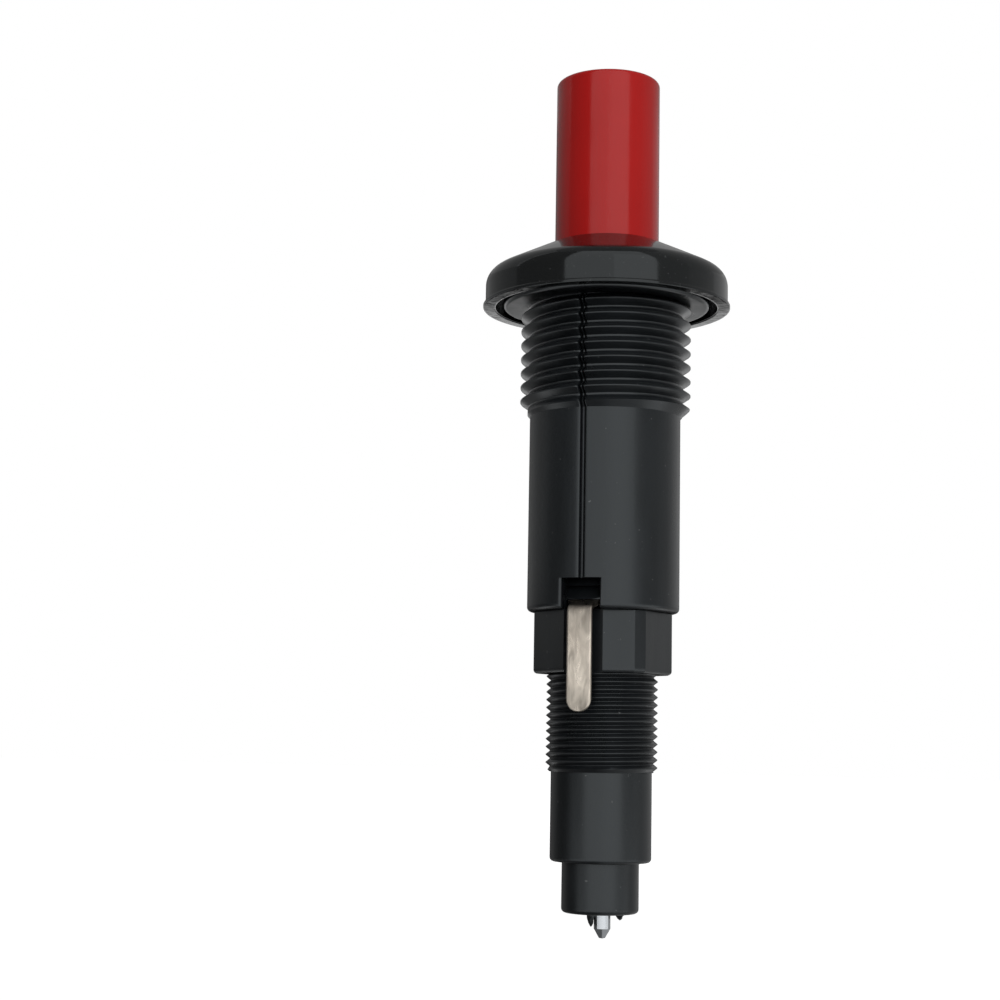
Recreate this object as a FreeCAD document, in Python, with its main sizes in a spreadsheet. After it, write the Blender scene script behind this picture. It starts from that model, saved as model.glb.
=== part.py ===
"""Push-button piezo igniter for a panel hole, sizes in millimetres.

The origin is the centre of the panel face, which is the foot of the bezel. +Z runs out through
the button, and the seam of the housing and the ground tab face -Y.
"""
import FreeCAD, Part
import Sketcher
import math
import os
import re

Vector = FreeCAD.Vector

# Driving sizes: heights of stacked steps run along Z, and gaps are clearances on the radius.
SIZES = {
    "button_diameter": 11.0,
    "button_height": 24.8,
    "button_edge": 0.45,
    "button_wall": 1.1,
    "button_roof": 1.6,
    "button_travel": 10.0,
    "collar_width": 0.95,
    "collar_height": 1.6,
    "spring_stem_radius": 1.8,
    "spring_stem_length": 4.0,
    "cam_width": 2.0,
    "cam_rise": 1.1,
    "bezel_bead": 0.25,
    "bezel_bead_height": 0.4,
    "bezel_crown": 6.95,
    "bezel_shoulder_height": 3.55,
    "bezel_shoulder_round": 1.9,
    "bezel_lip": 1.1,
    "flange_gap": 0.8,
    "flange_width": 1.95,
    "flange_height": 1.8,
    "neck_wall": 2.0,
    "neck_height": 2.8,
    "snap_bead": 0.3,
    "snap_bead_height": 0.5,
    "bore_radius": 6.6,
    "thread_diameter": 17.9,
    "thread_pitch": 1.5,
    "thread_depth": 0.85,
    "thread_crest_width": 0.45,
    "thread_turns": 7.0,
    "thread_start_height": 0.075,
    "thread_length": 11.7,
    "barrel_diameter": 15.8,
    "barrel_length": 20.4,
    "barrel_edge": 0.45,
    "spring_chamber": 20.0,
    "ledge_radius": 5.8,
    "seam_width": 0.6,
    "seam_depth": 0.3,
    "window_width": 4.05,
    "window_height": 3.05,
    "dowel_radius": 0.5,
    "dowel_length": 1.0,
    "tail_neck_height": 4.1,
    "tail_neck_wall": 1.3,
    "trap_height": 1.6,
    "trap_width": 0.5,
    "trap_drop": 1.0,
    "hex_shoulder": 0.75,
    "hex_corner_cut": 0.75,
    "hex_height": 6.4,
    "hex_edge": 0.4,
    "hex_turn": -10.7,
    "channel_width": 3.9,
    "channel_depth": 0.9,
    "stack_bore_radius": 3.45,
    "tail_thread_diameter": 11.5,
    "tail_thread_length": 10.0,
    "tail_thread_bevel": 0.35,
    "tail_groove_spacing": 1.6,
    "tail_groove_width": 0.8,
    "tail_groove_depth": 0.42,
    "sleeve_diameter": 10.4,
    "sleeve_length": 9.07,
    "sleeve_edge": 0.4,
    "nose_diameter": 7.9,
    "nose_length": 5.12,
    "nose_edge": 0.45,
    "guide_wall": 0.75,
    "guide_above_face": 1.0,
    "guide_base_height": 1.8,
    "hammer_length": 13.0,
    "hammer_stroke": 3.5,
    "hammer_spigot_radius": 1.9,
    "hammer_spigot_length": 3.0,
    "hammer_edge": 0.4,
    "hammer_pin_radius": 0.8,
    "hammer_pin_length": 9.8,
    "hammer_pin_drop": 2.9,
    "latch_width": 1.75,
    "anvil_above_floor": 3.45,
    "anvil_below_floor": 1.3,
    "anvil_edge": 0.3,
    "ceramic_diameter": 6.0,
    "ceramic_length": 10.5,
    "contact_thickness": 0.4,
    "insulator_wall": 0.3,
    "electrode_thickness": 1.2,
    "output_pin_diameter": 1.7,
    "output_pin_shank_diameter": 2.2,
    "output_pin_head_radius": 1.6,
    "output_pin_head_height": 1.0,
    "output_pin_reach": 2.58,
    "output_pin_tip": 1.12,
    "output_pin_tip_radius": 0.15,
    "impact_spring_wire": 0.8,
    "impact_spring_turns": 9.0,
    "return_spring_wire": 0.6,
    "return_spring_turns": 6.0,
    "tab_width": 2.6,
    "tab_thickness": 0.5,
    "tab_stand_off": 0.1,
    "tab_length": 10.4,
    "tab_bend_radius": 0.5,
    "terminal_ring_width": 1.55,
    "running_gap": 0.15,
    "seat_gap": 0.1,
    "press_gap": 0.02,
}

# Places and radii that follow from the driving sizes.
PLACES = {
    "button_radius": "button_diameter / 2",
    "button_bore": "button_radius - button_wall",
    "button_ceiling": "button_height - button_roof",
    "button_foot": "hammer_pin_height + hammer_pin_radius + 2 * seat_gap + button_travel",
    "neck_top": "flange_height + neck_height",
    "neck_radius": "bore_radius + neck_wall",
    "bezel_ceiling": "neck_top + seat_gap",
    "collar_top": "bezel_ceiling - press_gap",
    "collar_foot": "collar_top - collar_height",
    "bead_middle": "flange_height + neck_height / 2",
    "flange_radius": "thread_crest + flange_width",
    "bezel_radius": "flange_radius + flange_gap + bezel_lip",
    "thread_crest": "thread_diameter / 2",
    "thread_root": "thread_crest - thread_depth",
    "dome_fall": "(bezel_crown - bezel_shoulder_height) / (bezel_radius - button_radius - running_gap)",
    "barrel_radius": "barrel_diameter / 2",
    "barrel_foot": "-(thread_length + barrel_length)",
    "spring_ledge": "-spring_chamber",
    "ledge_foot": "tail_neck_top + 2 * seat_gap",
    "tail_neck_top": "barrel_foot + tail_neck_height",
    "tail_neck_radius": "bore_radius - seat_gap",
    "tail_neck_bore": "tail_neck_radius - tail_neck_wall",
    "trap_top": "tail_neck_top - trap_drop",
    "trap_foot": "trap_top - trap_height",
    "hex_foot": "barrel_foot - hex_height",
    "hex_flat": "tail_thread_crest + hex_shoulder",
    "hex_half_side": "hex_flat / sqrt(3) - hex_corner_cut",
    "channel_floor": "hex_flat - channel_depth",
    "tail_thread_foot": "hex_foot - tail_thread_length",
    "sleeve_foot": "tail_thread_foot - sleeve_length",
    "nose_foot": "sleeve_foot - nose_length",
    "tail_thread_crest": "tail_thread_diameter / 2",
    "guide_radius": "stack_bore_radius + guide_wall",
    "guide_foot": "barrel_foot + tab_thickness",
    "guide_base_radius": "tail_neck_bore - seat_gap",
    "hammer_radius": "stack_bore_radius - seat_gap",
    "anvil_top": "barrel_foot + anvil_above_floor",
    "anvil_foot": "barrel_foot - anvil_below_floor",
    "hammer_foot": "anvil_top + hammer_stroke + seat_gap / 2",
    "hammer_top": "hammer_foot + hammer_length",
    "hammer_pin_height": "hammer_top - hammer_pin_drop",
    "slot_top": "hammer_pin_height + hammer_pin_radius + seat_gap",
    "slot_foot": "hammer_pin_height - hammer_stroke - hammer_pin_radius - seat_gap",
    "upper_ceramic_foot": "anvil_foot - ceramic_length",
    "lower_ceramic_top": "upper_ceramic_foot - contact_thickness",
    "lower_ceramic_foot": "lower_ceramic_top - ceramic_length",
    "stack_foot": "lower_ceramic_foot - electrode_thickness",
    "pin_head_foot": "stack_foot - output_pin_head_height",
    "pin_tip": "nose_foot - output_pin_reach",
    "tab_outer_face": "barrel_radius + tab_stand_off",
    "terminal_ring_bore": "hammer_radius + press_gap",
}

NAME = re.compile(r"[a-z_]+[a-z]")

doc = FreeCAD.newDocument("PiezoIgniter")
sheet = doc.addObject("Spreadsheet::Sheet", "Sizes")
for row, (alias, number) in enumerate(SIZES.items(), start=1):
    sheet.set(f"A{row}", alias)
    sheet.set(f"B{row}", str(number))
    sheet.setAlias(f"B{row}", alias)
doc.recompute()


def bound(text):
    """Write an expression out in the aliases of the sheet."""

    def written_out(match):
        word = match.group(0)
        if word in PLACES:
            return f"({bound(PLACES[word])})"
        return f"Sizes.{word}" if word in SIZES else word

    return NAME.sub(written_out, text)


def value(text):
    """Number that an expression has now."""
    return float(sheet.evalExpression(bound(text)))


def set_size(thing, prop, text):
    """Tie one property of an object to an expression."""
    thing.setExpression(prop, bound(text))


def new_body(label):
    """Empty body of one piece."""
    body = doc.addObject("PartDesign::Body", label)
    body.Label = label
    return body


def new_sketch(body, name, plane, height=None, turn=None):
    """Sketch on one of the body's own planes, lifted or turned within it where asked."""
    sketch = body.newObject("Sketcher::SketchObject", name)
    origin_plane = next(item for item in body.Origin.OriginFeatures if item.Role == plane)
    sketch.AttachmentSupport = (origin_plane, "")
    sketch.MapMode = "FlatFace"
    if height is not None:
        set_size(sketch, "AttachmentOffset.Base.z", height)
    if turn is not None:
        set_size(sketch, "AttachmentOffset.Rotation.Angle", turn)
    return sketch


def fix_point(sketch, line, end, across, up):
    """Hold one end of a line at a bound place, counted from the sketch's origin."""
    for kind, text in (("DistanceX", across), ("DistanceY", up)):
        axis = -2 if kind == "DistanceX" else -1
        if text == "0":
            sketch.addConstraint(Sketcher.Constraint("PointOnObject", line, end, axis))
            continue
        index = sketch.addConstraint(
            Sketcher.Constraint(kind, -1, 1, line, end, value(text)))
        set_size(sketch, f"Constraints[{index}]", text)


def draw_outline(sketch, corners):
    """Closed outline of straight lines through bound corners."""
    places = [Vector(value(across), value(up), 0) for across, up in corners]
    first = len(sketch.Geometry)
    count = len(corners)
    for index in range(count):
        sketch.addGeometry(Part.LineSegment(places[index], places[(index + 1) % count]), False)
    for index in range(count):
        follower = first + (index + 1) % count
        sketch.addConstraint(Sketcher.Constraint("Coincident", first + index, 2, follower, 1))
    for index, (across, up) in enumerate(corners):
        fix_point(sketch, first + index, 1, across, up)


def draw_circle(sketch, across, up, radius):
    """Circle with a bound centre and radius."""
    centre = Vector(value(across), value(up), 0)
    circle = sketch.addGeometry(Part.Circle(centre, Vector(0, 0, 1), value(radius)), False)
    index = sketch.addConstraint(Sketcher.Constraint("Radius", circle, value(radius)))
    set_size(sketch, f"Constraints[{index}]", radius)
    fix_point(sketch, circle, 3, across, up)


def turned(body, name, corners, kind="Revolution"):
    """Turn an outline of (radius, height) corners once round Z."""
    sketch = new_sketch(body, name + "Profile", "XZ_Plane")
    draw_outline(sketch, corners)
    feature = body.newObject(f"PartDesign::{kind}", name)
    feature.Profile = sketch
    feature.ReferenceAxis = (sketch, ["V_Axis"])
    feature.Angle = 360
    body.Tip = feature
    doc.recompute()
    return feature


def padded(body, name, sketch, length, both_ways=False):
    """Give a sketch a bound thickness."""
    feature = body.newObject("PartDesign::Pad", name)
    feature.Profile = sketch
    feature.SideType = "Symmetric" if both_ways else "One side"
    set_size(feature, "Length", length)
    body.Tip = feature
    doc.recompute()
    return feature


def pocketed(body, name, sketch, length, both_ways=False, reverse=False):
    """Cut a sketch into the body to a bound depth, and make sure that it cuts."""
    before = body.Shape.Volume
    feature = body.newObject("PartDesign::Pocket", name)
    feature.Profile = sketch
    feature.SideType = "Symmetric" if both_ways else "One side"
    feature.Reversed = reverse
    set_size(feature, "Length", length)
    body.Tip = feature
    doc.recompute()
    if body.Shape.Volume >= before:
        raise RuntimeError(f"{body.Label}.{name} cuts nothing")
    return feature


def repeated_round_axis(body, name, feature, copies):
    """Copies of a feature round Z."""
    pattern = body.newObject("PartDesign::PolarPattern", name)
    pattern.Originals = [feature]
    axis = next(item for item in body.Origin.OriginFeatures if item.Role == "Z_Axis")
    pattern.Axis = (axis, [""])
    pattern.Angle = 360
    pattern.Occurrences = copies
    body.Tip = pattern
    doc.recompute()
    return pattern


def ring_edges(body, rings):
    """Names of the round edges about Z that have the given (radius, height)."""
    names = []
    wanted = [(value(radius), value(height)) for radius, height in rings]
    for index, edge in enumerate(body.Shape.Edges, start=1):
        if not isinstance(edge.Curve, Part.Circle):
            continue
        for radius, height in wanted:
            near = abs(edge.Curve.Radius - radius) + abs(edge.Curve.Center.z - height)
            if near < 1e-4:
                names.append(f"Edge{index}")
    return names


def eased(body, name, edges, size, kind, prop):
    """Dress the named edges of the body as it is now."""
    blank = body.Tip
    feature = body.newObject(f"PartDesign::{kind}", name)
    feature.Base = (blank, edges)
    set_size(feature, prop, size)
    body.Tip = feature
    doc.recompute()
    return feature


def bevelled(body, name, edges, size):
    """Narrow bevel along the named edges."""
    return eased(body, name, edges, size, "Chamfer", "Size")


def rounded(body, name, edges, size):
    """Round of the given radius along the named edges."""
    return eased(body, name, edges, size, "Fillet", "Radius")


def climbing_groove(body, name, corners, pitch, turns):
    """Right-hand groove of the given (radius, height) section that climbs round Z."""
    sketch = new_sketch(body, name + "Section", "XZ_Plane")
    draw_outline(sketch, corners)
    feature = body.newObject("PartDesign::SubtractiveHelix", name)
    feature.Profile = sketch
    feature.ReferenceAxis = (sketch, ["V_Axis"])
    feature.Mode = "pitch-turns-angle"
    set_size(feature, "Pitch", pitch)
    set_size(feature, "Turns", turns)
    body.Tip = feature
    doc.recompute()
    return feature


def coil_spring(label, mean_radius, wire, turns, foot, top):
    """Compression spring between two seats: a square wire in short straight runs."""
    stations, sides = 12, 4
    coil, low, thick = value(mean_radius), value(foot), value(wire) / 2
    rise = value(f"{top} - ({foot})") - 2 * thick
    count = round(value(turns) * stations)
    rings = []
    for step in range(count + 1):
        swing = 2 * math.pi * step / stations
        middle = low + thick + rise * step / count
        ring = []
        for side in range(sides):
            angle = 2 * math.pi * (side + 0.5) / sides
            out = coil + thick * math.cos(angle)
            ring.append(Vector(out * math.cos(swing), out * math.sin(swing),
                               middle + thick * math.sin(angle)))
        rings.append(ring)
    faces = [Part.Face(Part.makePolygon(ring + ring[:1])) for ring in (rings[0], rings[-1])]
    for near, far in zip(rings, rings[1:]):
        for side in range(sides):
            follower = (side + 1) % sides
            for corners in ((near[side], near[follower], far[side]),
                            (far[side], near[follower], far[follower])):
                faces.append(Part.Face(Part.makePolygon([*corners, corners[0]])))
    solid = Part.Solid(Part.Shell(faces))
    if solid.Volume < 0:
        solid.reverse()
    spring = doc.addObject("Part::Feature", label)
    spring.Label = label
    spring.Shape = solid
    return spring


def washer_or_disc(label, radius, foot, top, bore=None, edge=None):
    """Plain round piece on the axis, with a bore or eased rims where it has them."""
    body = new_body(label)
    inner = bore or "0"
    turned(body, "Blank", [(inner, foot), (radius, foot), (radius, top), (inner, top)])
    if edge:
        bevelled(body, "Rims", ring_edges(body, [(radius, foot), (radius, top)]), edge)
    return body


def build_button():
    """Hollow push button with a retaining collar, a spring stem and cam ramps at its foot."""
    body = new_body("button")
    collar = "button_radius + collar_width"
    stem = "spring_stem_radius"
    stem_foot = "button_ceiling - spring_stem_length"
    turned(body, "Shell", [
        ("button_bore", "button_foot"), ("button_radius", "button_foot"),
        ("button_radius", "collar_foot"), (collar, "collar_foot"), (collar, "collar_top"),
        ("button_radius", "collar_top"), ("button_radius", "button_height"),
        ("0", "button_height"), ("0", stem_foot), (stem, stem_foot),
        (stem, "button_ceiling"), ("button_bore", "button_ceiling")])
    bevelled(body, "Crown", ring_edges(body, [("button_radius", "button_height")]), "button_edge")
    ramp = new_sketch(body, "RampSide", "YZ_Plane")
    draw_outline(ramp, [
        ("-cam_width / 2", "button_foot"), ("cam_width / 2", "button_foot"),
        ("-cam_width / 2", "button_foot + cam_rise")])
    cut = pocketed(body, "Ramp", ramp, "button_diameter", reverse=True)
    repeated_round_axis(body, "Ramps", cut, 2)
    return body


def shoulder_round(rim):
    """Points of the arc that joins the upright rim to the dome, which falls at dome_fall."""
    steps = 3
    slope = "sqrt(1 + dome_fall ^ 2)"
    centre = f"(bezel_shoulder_height - bezel_shoulder_round * ({slope} - dome_fall))"
    points = []
    for step in range(steps + 1):
        share = step / steps
        across = f"({1 - share} + {share} * dome_fall / {slope})"
        up = f"({share} / {slope})"
        size = f"sqrt({across} ^ 2 + {up} ^ 2)"
        points.append((f"{rim} - bezel_shoulder_round * (1 - {across} / {size})",
                       f"{centre} + bezel_shoulder_round * {up} / {size}"))
    return points


def build_bezel():
    """Domed snap-on bezel with a deep skirt over the flange of the housing."""
    body = new_body("bezel")
    rim = "bezel_radius"
    bead = "bezel_radius + bezel_bead"
    lip = "bezel_radius - bezel_lip"
    neck = "neck_radius + seat_gap"
    hole = "button_radius + running_gap"
    groove = "neck_radius + snap_bead + seat_gap"
    turned(body, "Dome", [
        (lip, "0"), (bead, "0"), (bead, "bezel_bead_height / 2"), (rim, "bezel_bead_height"),
        *shoulder_round(rim), (hole, "bezel_crown"), (hole, "bezel_ceiling"),
        (neck, "bezel_ceiling"), (neck, "flange_height"), (lip, "flange_height")])
    half = "(snap_bead_height / 2 + seat_gap)"
    turned(body, "SnapGroove", [
        (f"{neck} - seat_gap", f"bead_middle - {half}"), (groove, f"bead_middle - {half}"),
        (groove, f"bead_middle + {half}"), (f"{neck} - seat_gap", f"bead_middle + {half}")],
        kind="Groove")
    return body


def build_housing():
    """Whole threaded barrel, which the two halves are cut from."""
    body = new_body("housing_whole")
    bead_half = "snap_bead_height / 2"
    bead = "neck_radius + snap_bead"
    trap = "bore_radius + trap_width"
    turned(body, "Tube", [
        ("barrel_radius", "barrel_foot"), ("barrel_radius", "-thread_length"),
        ("thread_crest", "-thread_length"), ("thread_crest", "0"), ("flange_radius", "0"),
        ("flange_radius", "flange_height"), ("neck_radius", "flange_height"),
        ("neck_radius", f"bead_middle - {bead_half}"), (bead, "bead_middle"),
        ("neck_radius", f"bead_middle + {bead_half}"), ("neck_radius", "neck_top"),
        ("bore_radius", "neck_top"), ("bore_radius", "spring_ledge"),
        ("ledge_radius", "spring_ledge"), ("ledge_radius", "ledge_foot"),
        ("bore_radius", "ledge_foot"), ("bore_radius", "trap_top + seat_gap"),
        (trap, "trap_top + seat_gap"), (trap, "trap_foot - seat_gap"),
        ("bore_radius", "trap_foot - seat_gap"), ("bore_radius", "barrel_foot")])
    bevelled(body, "BarrelEdge", ring_edges(body, [("barrel_radius", "barrel_foot")]),
             "barrel_edge")
    start = "-thread_length + thread_start_height"
    mouth = "(thread_pitch - thread_crest_width) / 2"
    climbing_groove(body, "PanelThread", [
        ("thread_root", start), ("thread_crest", f"{start} - {mouth}"),
        ("thread_crest + seat_gap", f"{start} - {mouth}"),
        ("thread_crest + seat_gap", f"{start} + {mouth}"),
        ("thread_crest", f"{start} + {mouth}")],
        "thread_pitch", "thread_turns")
    window = new_sketch(body, "WindowFront", "XZ_Plane")
    draw_outline(window, [
        ("-window_width / 2", "barrel_foot"), ("window_width / 2", "barrel_foot"),
        ("window_width / 2", "barrel_foot + window_height"),
        ("-window_width / 2", "barrel_foot + window_height")])
    pocketed(body, "Window", window, "barrel_diameter", reverse=True)
    return body


def block(name, corner, size):
    """Plain box, used as a cutter."""
    solid = doc.addObject("Part::Box", name)
    for prop, text in zip(("Length", "Width", "Height"), size):
        set_size(solid, prop, text)
    for axis, text in zip("xyz", corner):
        set_size(solid, f"Placement.Base.{axis}", text)
    return solid


def rod_along_x(name, radius, length, across, height):
    """Short round rod that starts just inside the left half and points to +X."""
    solid = doc.addObject("Part::Cylinder", name)
    solid.Placement = FreeCAD.Placement(Vector(0, 0, 0), FreeCAD.Rotation(Vector(0, 1, 0), 90))
    set_size(solid, "Radius", radius)
    set_size(solid, "Height", f"2 * {length}")
    set_size(solid, "Placement.Base.x", f"-({length})")
    set_size(solid, "Placement.Base.y", across)
    set_size(solid, "Placement.Base.z", height)
    return solid


def combined(kind, name, first, second):
    """Boolean of two or more shapes; second may be a list for a fuse."""
    result = doc.addObject(f"Part::{kind}", name)
    if kind == "MultiFuse":
        result.Shapes = [first] + second
    else:
        result.Base = first
        result.Tool = second
    result.Label = name
    doc.recompute()
    return result


def build_housing_halves(whole):
    """Split the barrel on the YZ plane, with seam grooves, and dowels that find their sockets."""
    reach = "bezel_radius"
    full = "neck_top - barrel_foot"
    groove_depth = "thread_depth + flange_radius"
    grooves = []
    for side, place in (("Front", f"-(barrel_radius - seam_depth) - ({groove_depth})"),
                        ("Rear", "barrel_radius - seam_depth")):
        grooves.append(block(
            f"Seam{side}", ("-seam_width / 2", place, "barrel_foot"),
            ("seam_width", groove_depth, "-barrel_foot - seat_gap")))
    seams = combined("MultiFuse", "Seams", grooves[0], grooves[1:])
    grooved = combined("Cut", "GroovedHousing", whole, seams)
    dowel_places = []
    for side in (1, -1):
        middle = f"{side} * (ledge_radius + barrel_radius) / 2"
        dowel_places.append((middle, "(spring_ledge + ledge_foot) / 2"))
        dowel_places.append((f"{side} * (neck_radius + flange_radius) / 2", "flange_height / 2"))
    halves = []
    for label, corner in (("left", f"-({reach})"), ("right", "0")):
        room = block(f"Room_{label}", (corner, f"-({reach})", "barrel_foot"),
                     (reach, f"2 * ({reach})", full))
        half = combined("Common", f"Half_{label}", grooved, room)
        grow = "0" if label == "left" else "press_gap"
        rods = [rod_along_x(f"Dowel_{label}_{index}", f"dowel_radius + {grow}",
                            f"(dowel_length + {grow})", across, height)
                for index, (across, height) in enumerate(dowel_places)]
        if label == "left":
            halves.append(combined("MultiFuse", "housing_half_left", half, rods))
        else:
            sockets = combined("MultiFuse", "Sockets", rods[0], rods[1:])
            halves.append(combined("Cut", "housing_half_right", half, sockets))
    return halves


def tail_grooves():
    """Corners of the ring grooves that stand for the tail's fine thread, from the foot up."""
    corners = []
    half = "tail_groove_width / 2"
    for index in range(int(value("tail_thread_length / tail_groove_spacing"))):
        middle = f"tail_thread_foot + {index + 0.5} * tail_groove_spacing"
        corners += [("tail_thread_crest", f"{middle} - {half}"),
                    ("tail_thread_crest - tail_groove_depth", middle),
                    ("tail_thread_crest", f"{middle} + {half}")]
    return corners


def build_tail():
    """Threaded insulating tail: trapped neck, hexagon, fine thread, sleeve and nose."""
    body = new_body("tail_housing")
    trap = "bore_radius + trap_width - seat_gap"
    pin_hole = "output_pin_shank_diameter / 2 + press_gap"
    pin_seat = "output_pin_head_radius + press_gap"
    sleeve = "sleeve_diameter / 2"
    nose = "nose_diameter / 2"
    turned(body, "Core", [
        (pin_hole, "nose_foot"), (nose, "nose_foot"), (nose, "sleeve_foot"),
        (sleeve, "sleeve_foot"), (sleeve, "tail_thread_foot"),
        ("tail_thread_crest", "tail_thread_foot"), *tail_grooves(),
        ("tail_thread_crest", "barrel_foot"),
        ("tail_neck_radius", "barrel_foot"), ("tail_neck_radius", "trap_foot"),
        (trap, "trap_foot"), (trap, "trap_top"), ("tail_neck_radius", "trap_top"),
        ("tail_neck_radius", "tail_neck_top"), ("tail_neck_bore", "tail_neck_top"),
        ("tail_neck_bore", "barrel_foot"), ("stack_bore_radius", "barrel_foot"),
        ("stack_bore_radius", "stack_foot"), (pin_seat, "stack_foot"),
        (pin_seat, "pin_head_foot"), (pin_hole, "pin_head_foot")])
    bevelled(body, "ThreadStart", ring_edges(body, [("tail_thread_crest", "tail_thread_foot")]),
             "tail_thread_bevel")
    bevelled(body, "SleeveEdge", ring_edges(body, [(sleeve, "sleeve_foot")]), "sleeve_edge")
    bevelled(body, "NoseEdge", ring_edges(body, [(nose, "nose_foot")]), "nose_edge")
    hexagon = new_sketch(body, "HexagonOutline", "XY_Plane", "hex_foot", "hex_turn")
    corners = []
    for index in range(6):
        angle = math.radians(60 * index)
        for side in (-1, 1):
            across = f"hex_flat * {math.cos(angle):.6f} - {side} * hex_half_side * {math.sin(angle):.6f}"
            up = f"hex_flat * {math.sin(angle):.6f} + {side} * hex_half_side * {math.cos(angle):.6f}"
            corners.append((across, up))
    draw_outline(hexagon, corners)
    draw_circle(hexagon, "0", "0", "(stack_bore_radius + tail_thread_crest) / 2")
    padded(body, "Hexagon", hexagon, "hex_height")
    low = value("hex_foot")
    rim = [f"Edge{index}" for index, edge in enumerate(body.Shape.Edges, start=1)
           if isinstance(edge.Curve, Part.Line)
           and all(abs(vertex.Point.z - low) < 1e-4 for vertex in edge.Vertexes)]
    bevelled(body, "HexagonEdge", rim, "hex_edge")
    slot = new_sketch(body, "SlotFront", "XZ_Plane")
    draw_outline(slot, [
        ("-channel_width / 2", "barrel_foot"), ("channel_width / 2", "barrel_foot"),
        ("channel_width / 2", "tail_neck_top"), ("-channel_width / 2", "tail_neck_top")])
    pocketed(body, "NeckSlot", slot, "2 * hex_flat", reverse=True)
    channel = new_sketch(body, "ChannelEnd", "XY_Plane", "hex_foot")
    draw_outline(channel, [
        ("-channel_width / 2", "-2 * hex_flat"), ("channel_width / 2", "-2 * hex_flat"),
        ("channel_width / 2", "-channel_floor"), ("-channel_width / 2", "-channel_floor")])
    pocketed(body, "Channel", channel, "hex_height", reverse=True)
    return body


def build_guide():
    """Guide tube of the hammer, with two L-shaped slots for the cross pin."""
    body = new_body("guide_tube")
    turned(body, "Tube", [
        ("stack_bore_radius", "guide_foot"), ("guide_base_radius", "guide_foot"),
        ("guide_base_radius", "guide_foot + guide_base_height"),
        ("guide_radius", "guide_foot + guide_base_height"),
        ("guide_radius", "guide_above_face"), ("stack_bore_radius", "guide_above_face")])
    side = "hammer_pin_radius + seat_gap"
    ledge = f"slot_top - 2 * ({side})"
    slot = new_sketch(body, "LatchSlotSide", "YZ_Plane")
    draw_outline(slot, [
        (f"-({side})", "slot_foot"), (side, "slot_foot"), (side, ledge),
        (f"{side} + latch_width", ledge), (f"{side} + latch_width", "slot_top"),
        (f"-({side})", "slot_top")])
    cut = pocketed(body, "LatchSlot", slot, "guide_base_radius", reverse=True)
    repeated_round_axis(body, "LatchSlots", cut, 2)
    return body


def build_hammer():
    """Steel hammer with a spring spigot and a cross hole for its pin."""
    body = new_body("hammer")
    turned(body, "Bar", [
        ("0", "hammer_foot"), ("hammer_radius", "hammer_foot"), ("hammer_radius", "hammer_top"),
        ("hammer_spigot_radius", "hammer_top"),
        ("hammer_spigot_radius", "hammer_top + hammer_spigot_length"),
        ("0", "hammer_top + hammer_spigot_length")])
    bevelled(body, "Bevels", ring_edges(body, [
        ("hammer_radius", "hammer_foot"),
        ("hammer_spigot_radius", "hammer_top + hammer_spigot_length")]), "hammer_edge")
    hole = new_sketch(body, "PinHoleSide", "YZ_Plane")
    draw_circle(hole, "0", "hammer_pin_height", "hammer_pin_radius + press_gap")
    pocketed(body, "PinHole", hole, "2 * hammer_radius + seat_gap", both_ways=True)
    return body


def build_hammer_pin():
    """Cross pin that carries the hammer in the slots of the guide."""
    body = new_body("hammer_pin")
    side = new_sketch(body, "PinSide", "YZ_Plane")
    draw_circle(side, "0", "hammer_pin_height", "hammer_pin_radius")
    padded(body, "Pin", side, "hammer_pin_length", both_ways=True)
    return body


def build_output_pin():
    """Headed high-voltage pin with a conical tip."""
    body = new_body("output_pin")
    radius = "output_pin_diameter / 2"
    shank = "output_pin_shank_diameter / 2"
    turned(body, "Pin", [
        ("0", "pin_tip"), ("output_pin_tip_radius", "pin_tip"),
        (radius, "pin_tip + output_pin_tip"), (radius, "nose_foot"), (shank, "nose_foot"),
        (shank, "pin_head_foot"),
        ("output_pin_head_radius", "pin_head_foot"), ("output_pin_head_radius", "stack_foot"),
        ("0", "stack_foot")])
    return body


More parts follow.
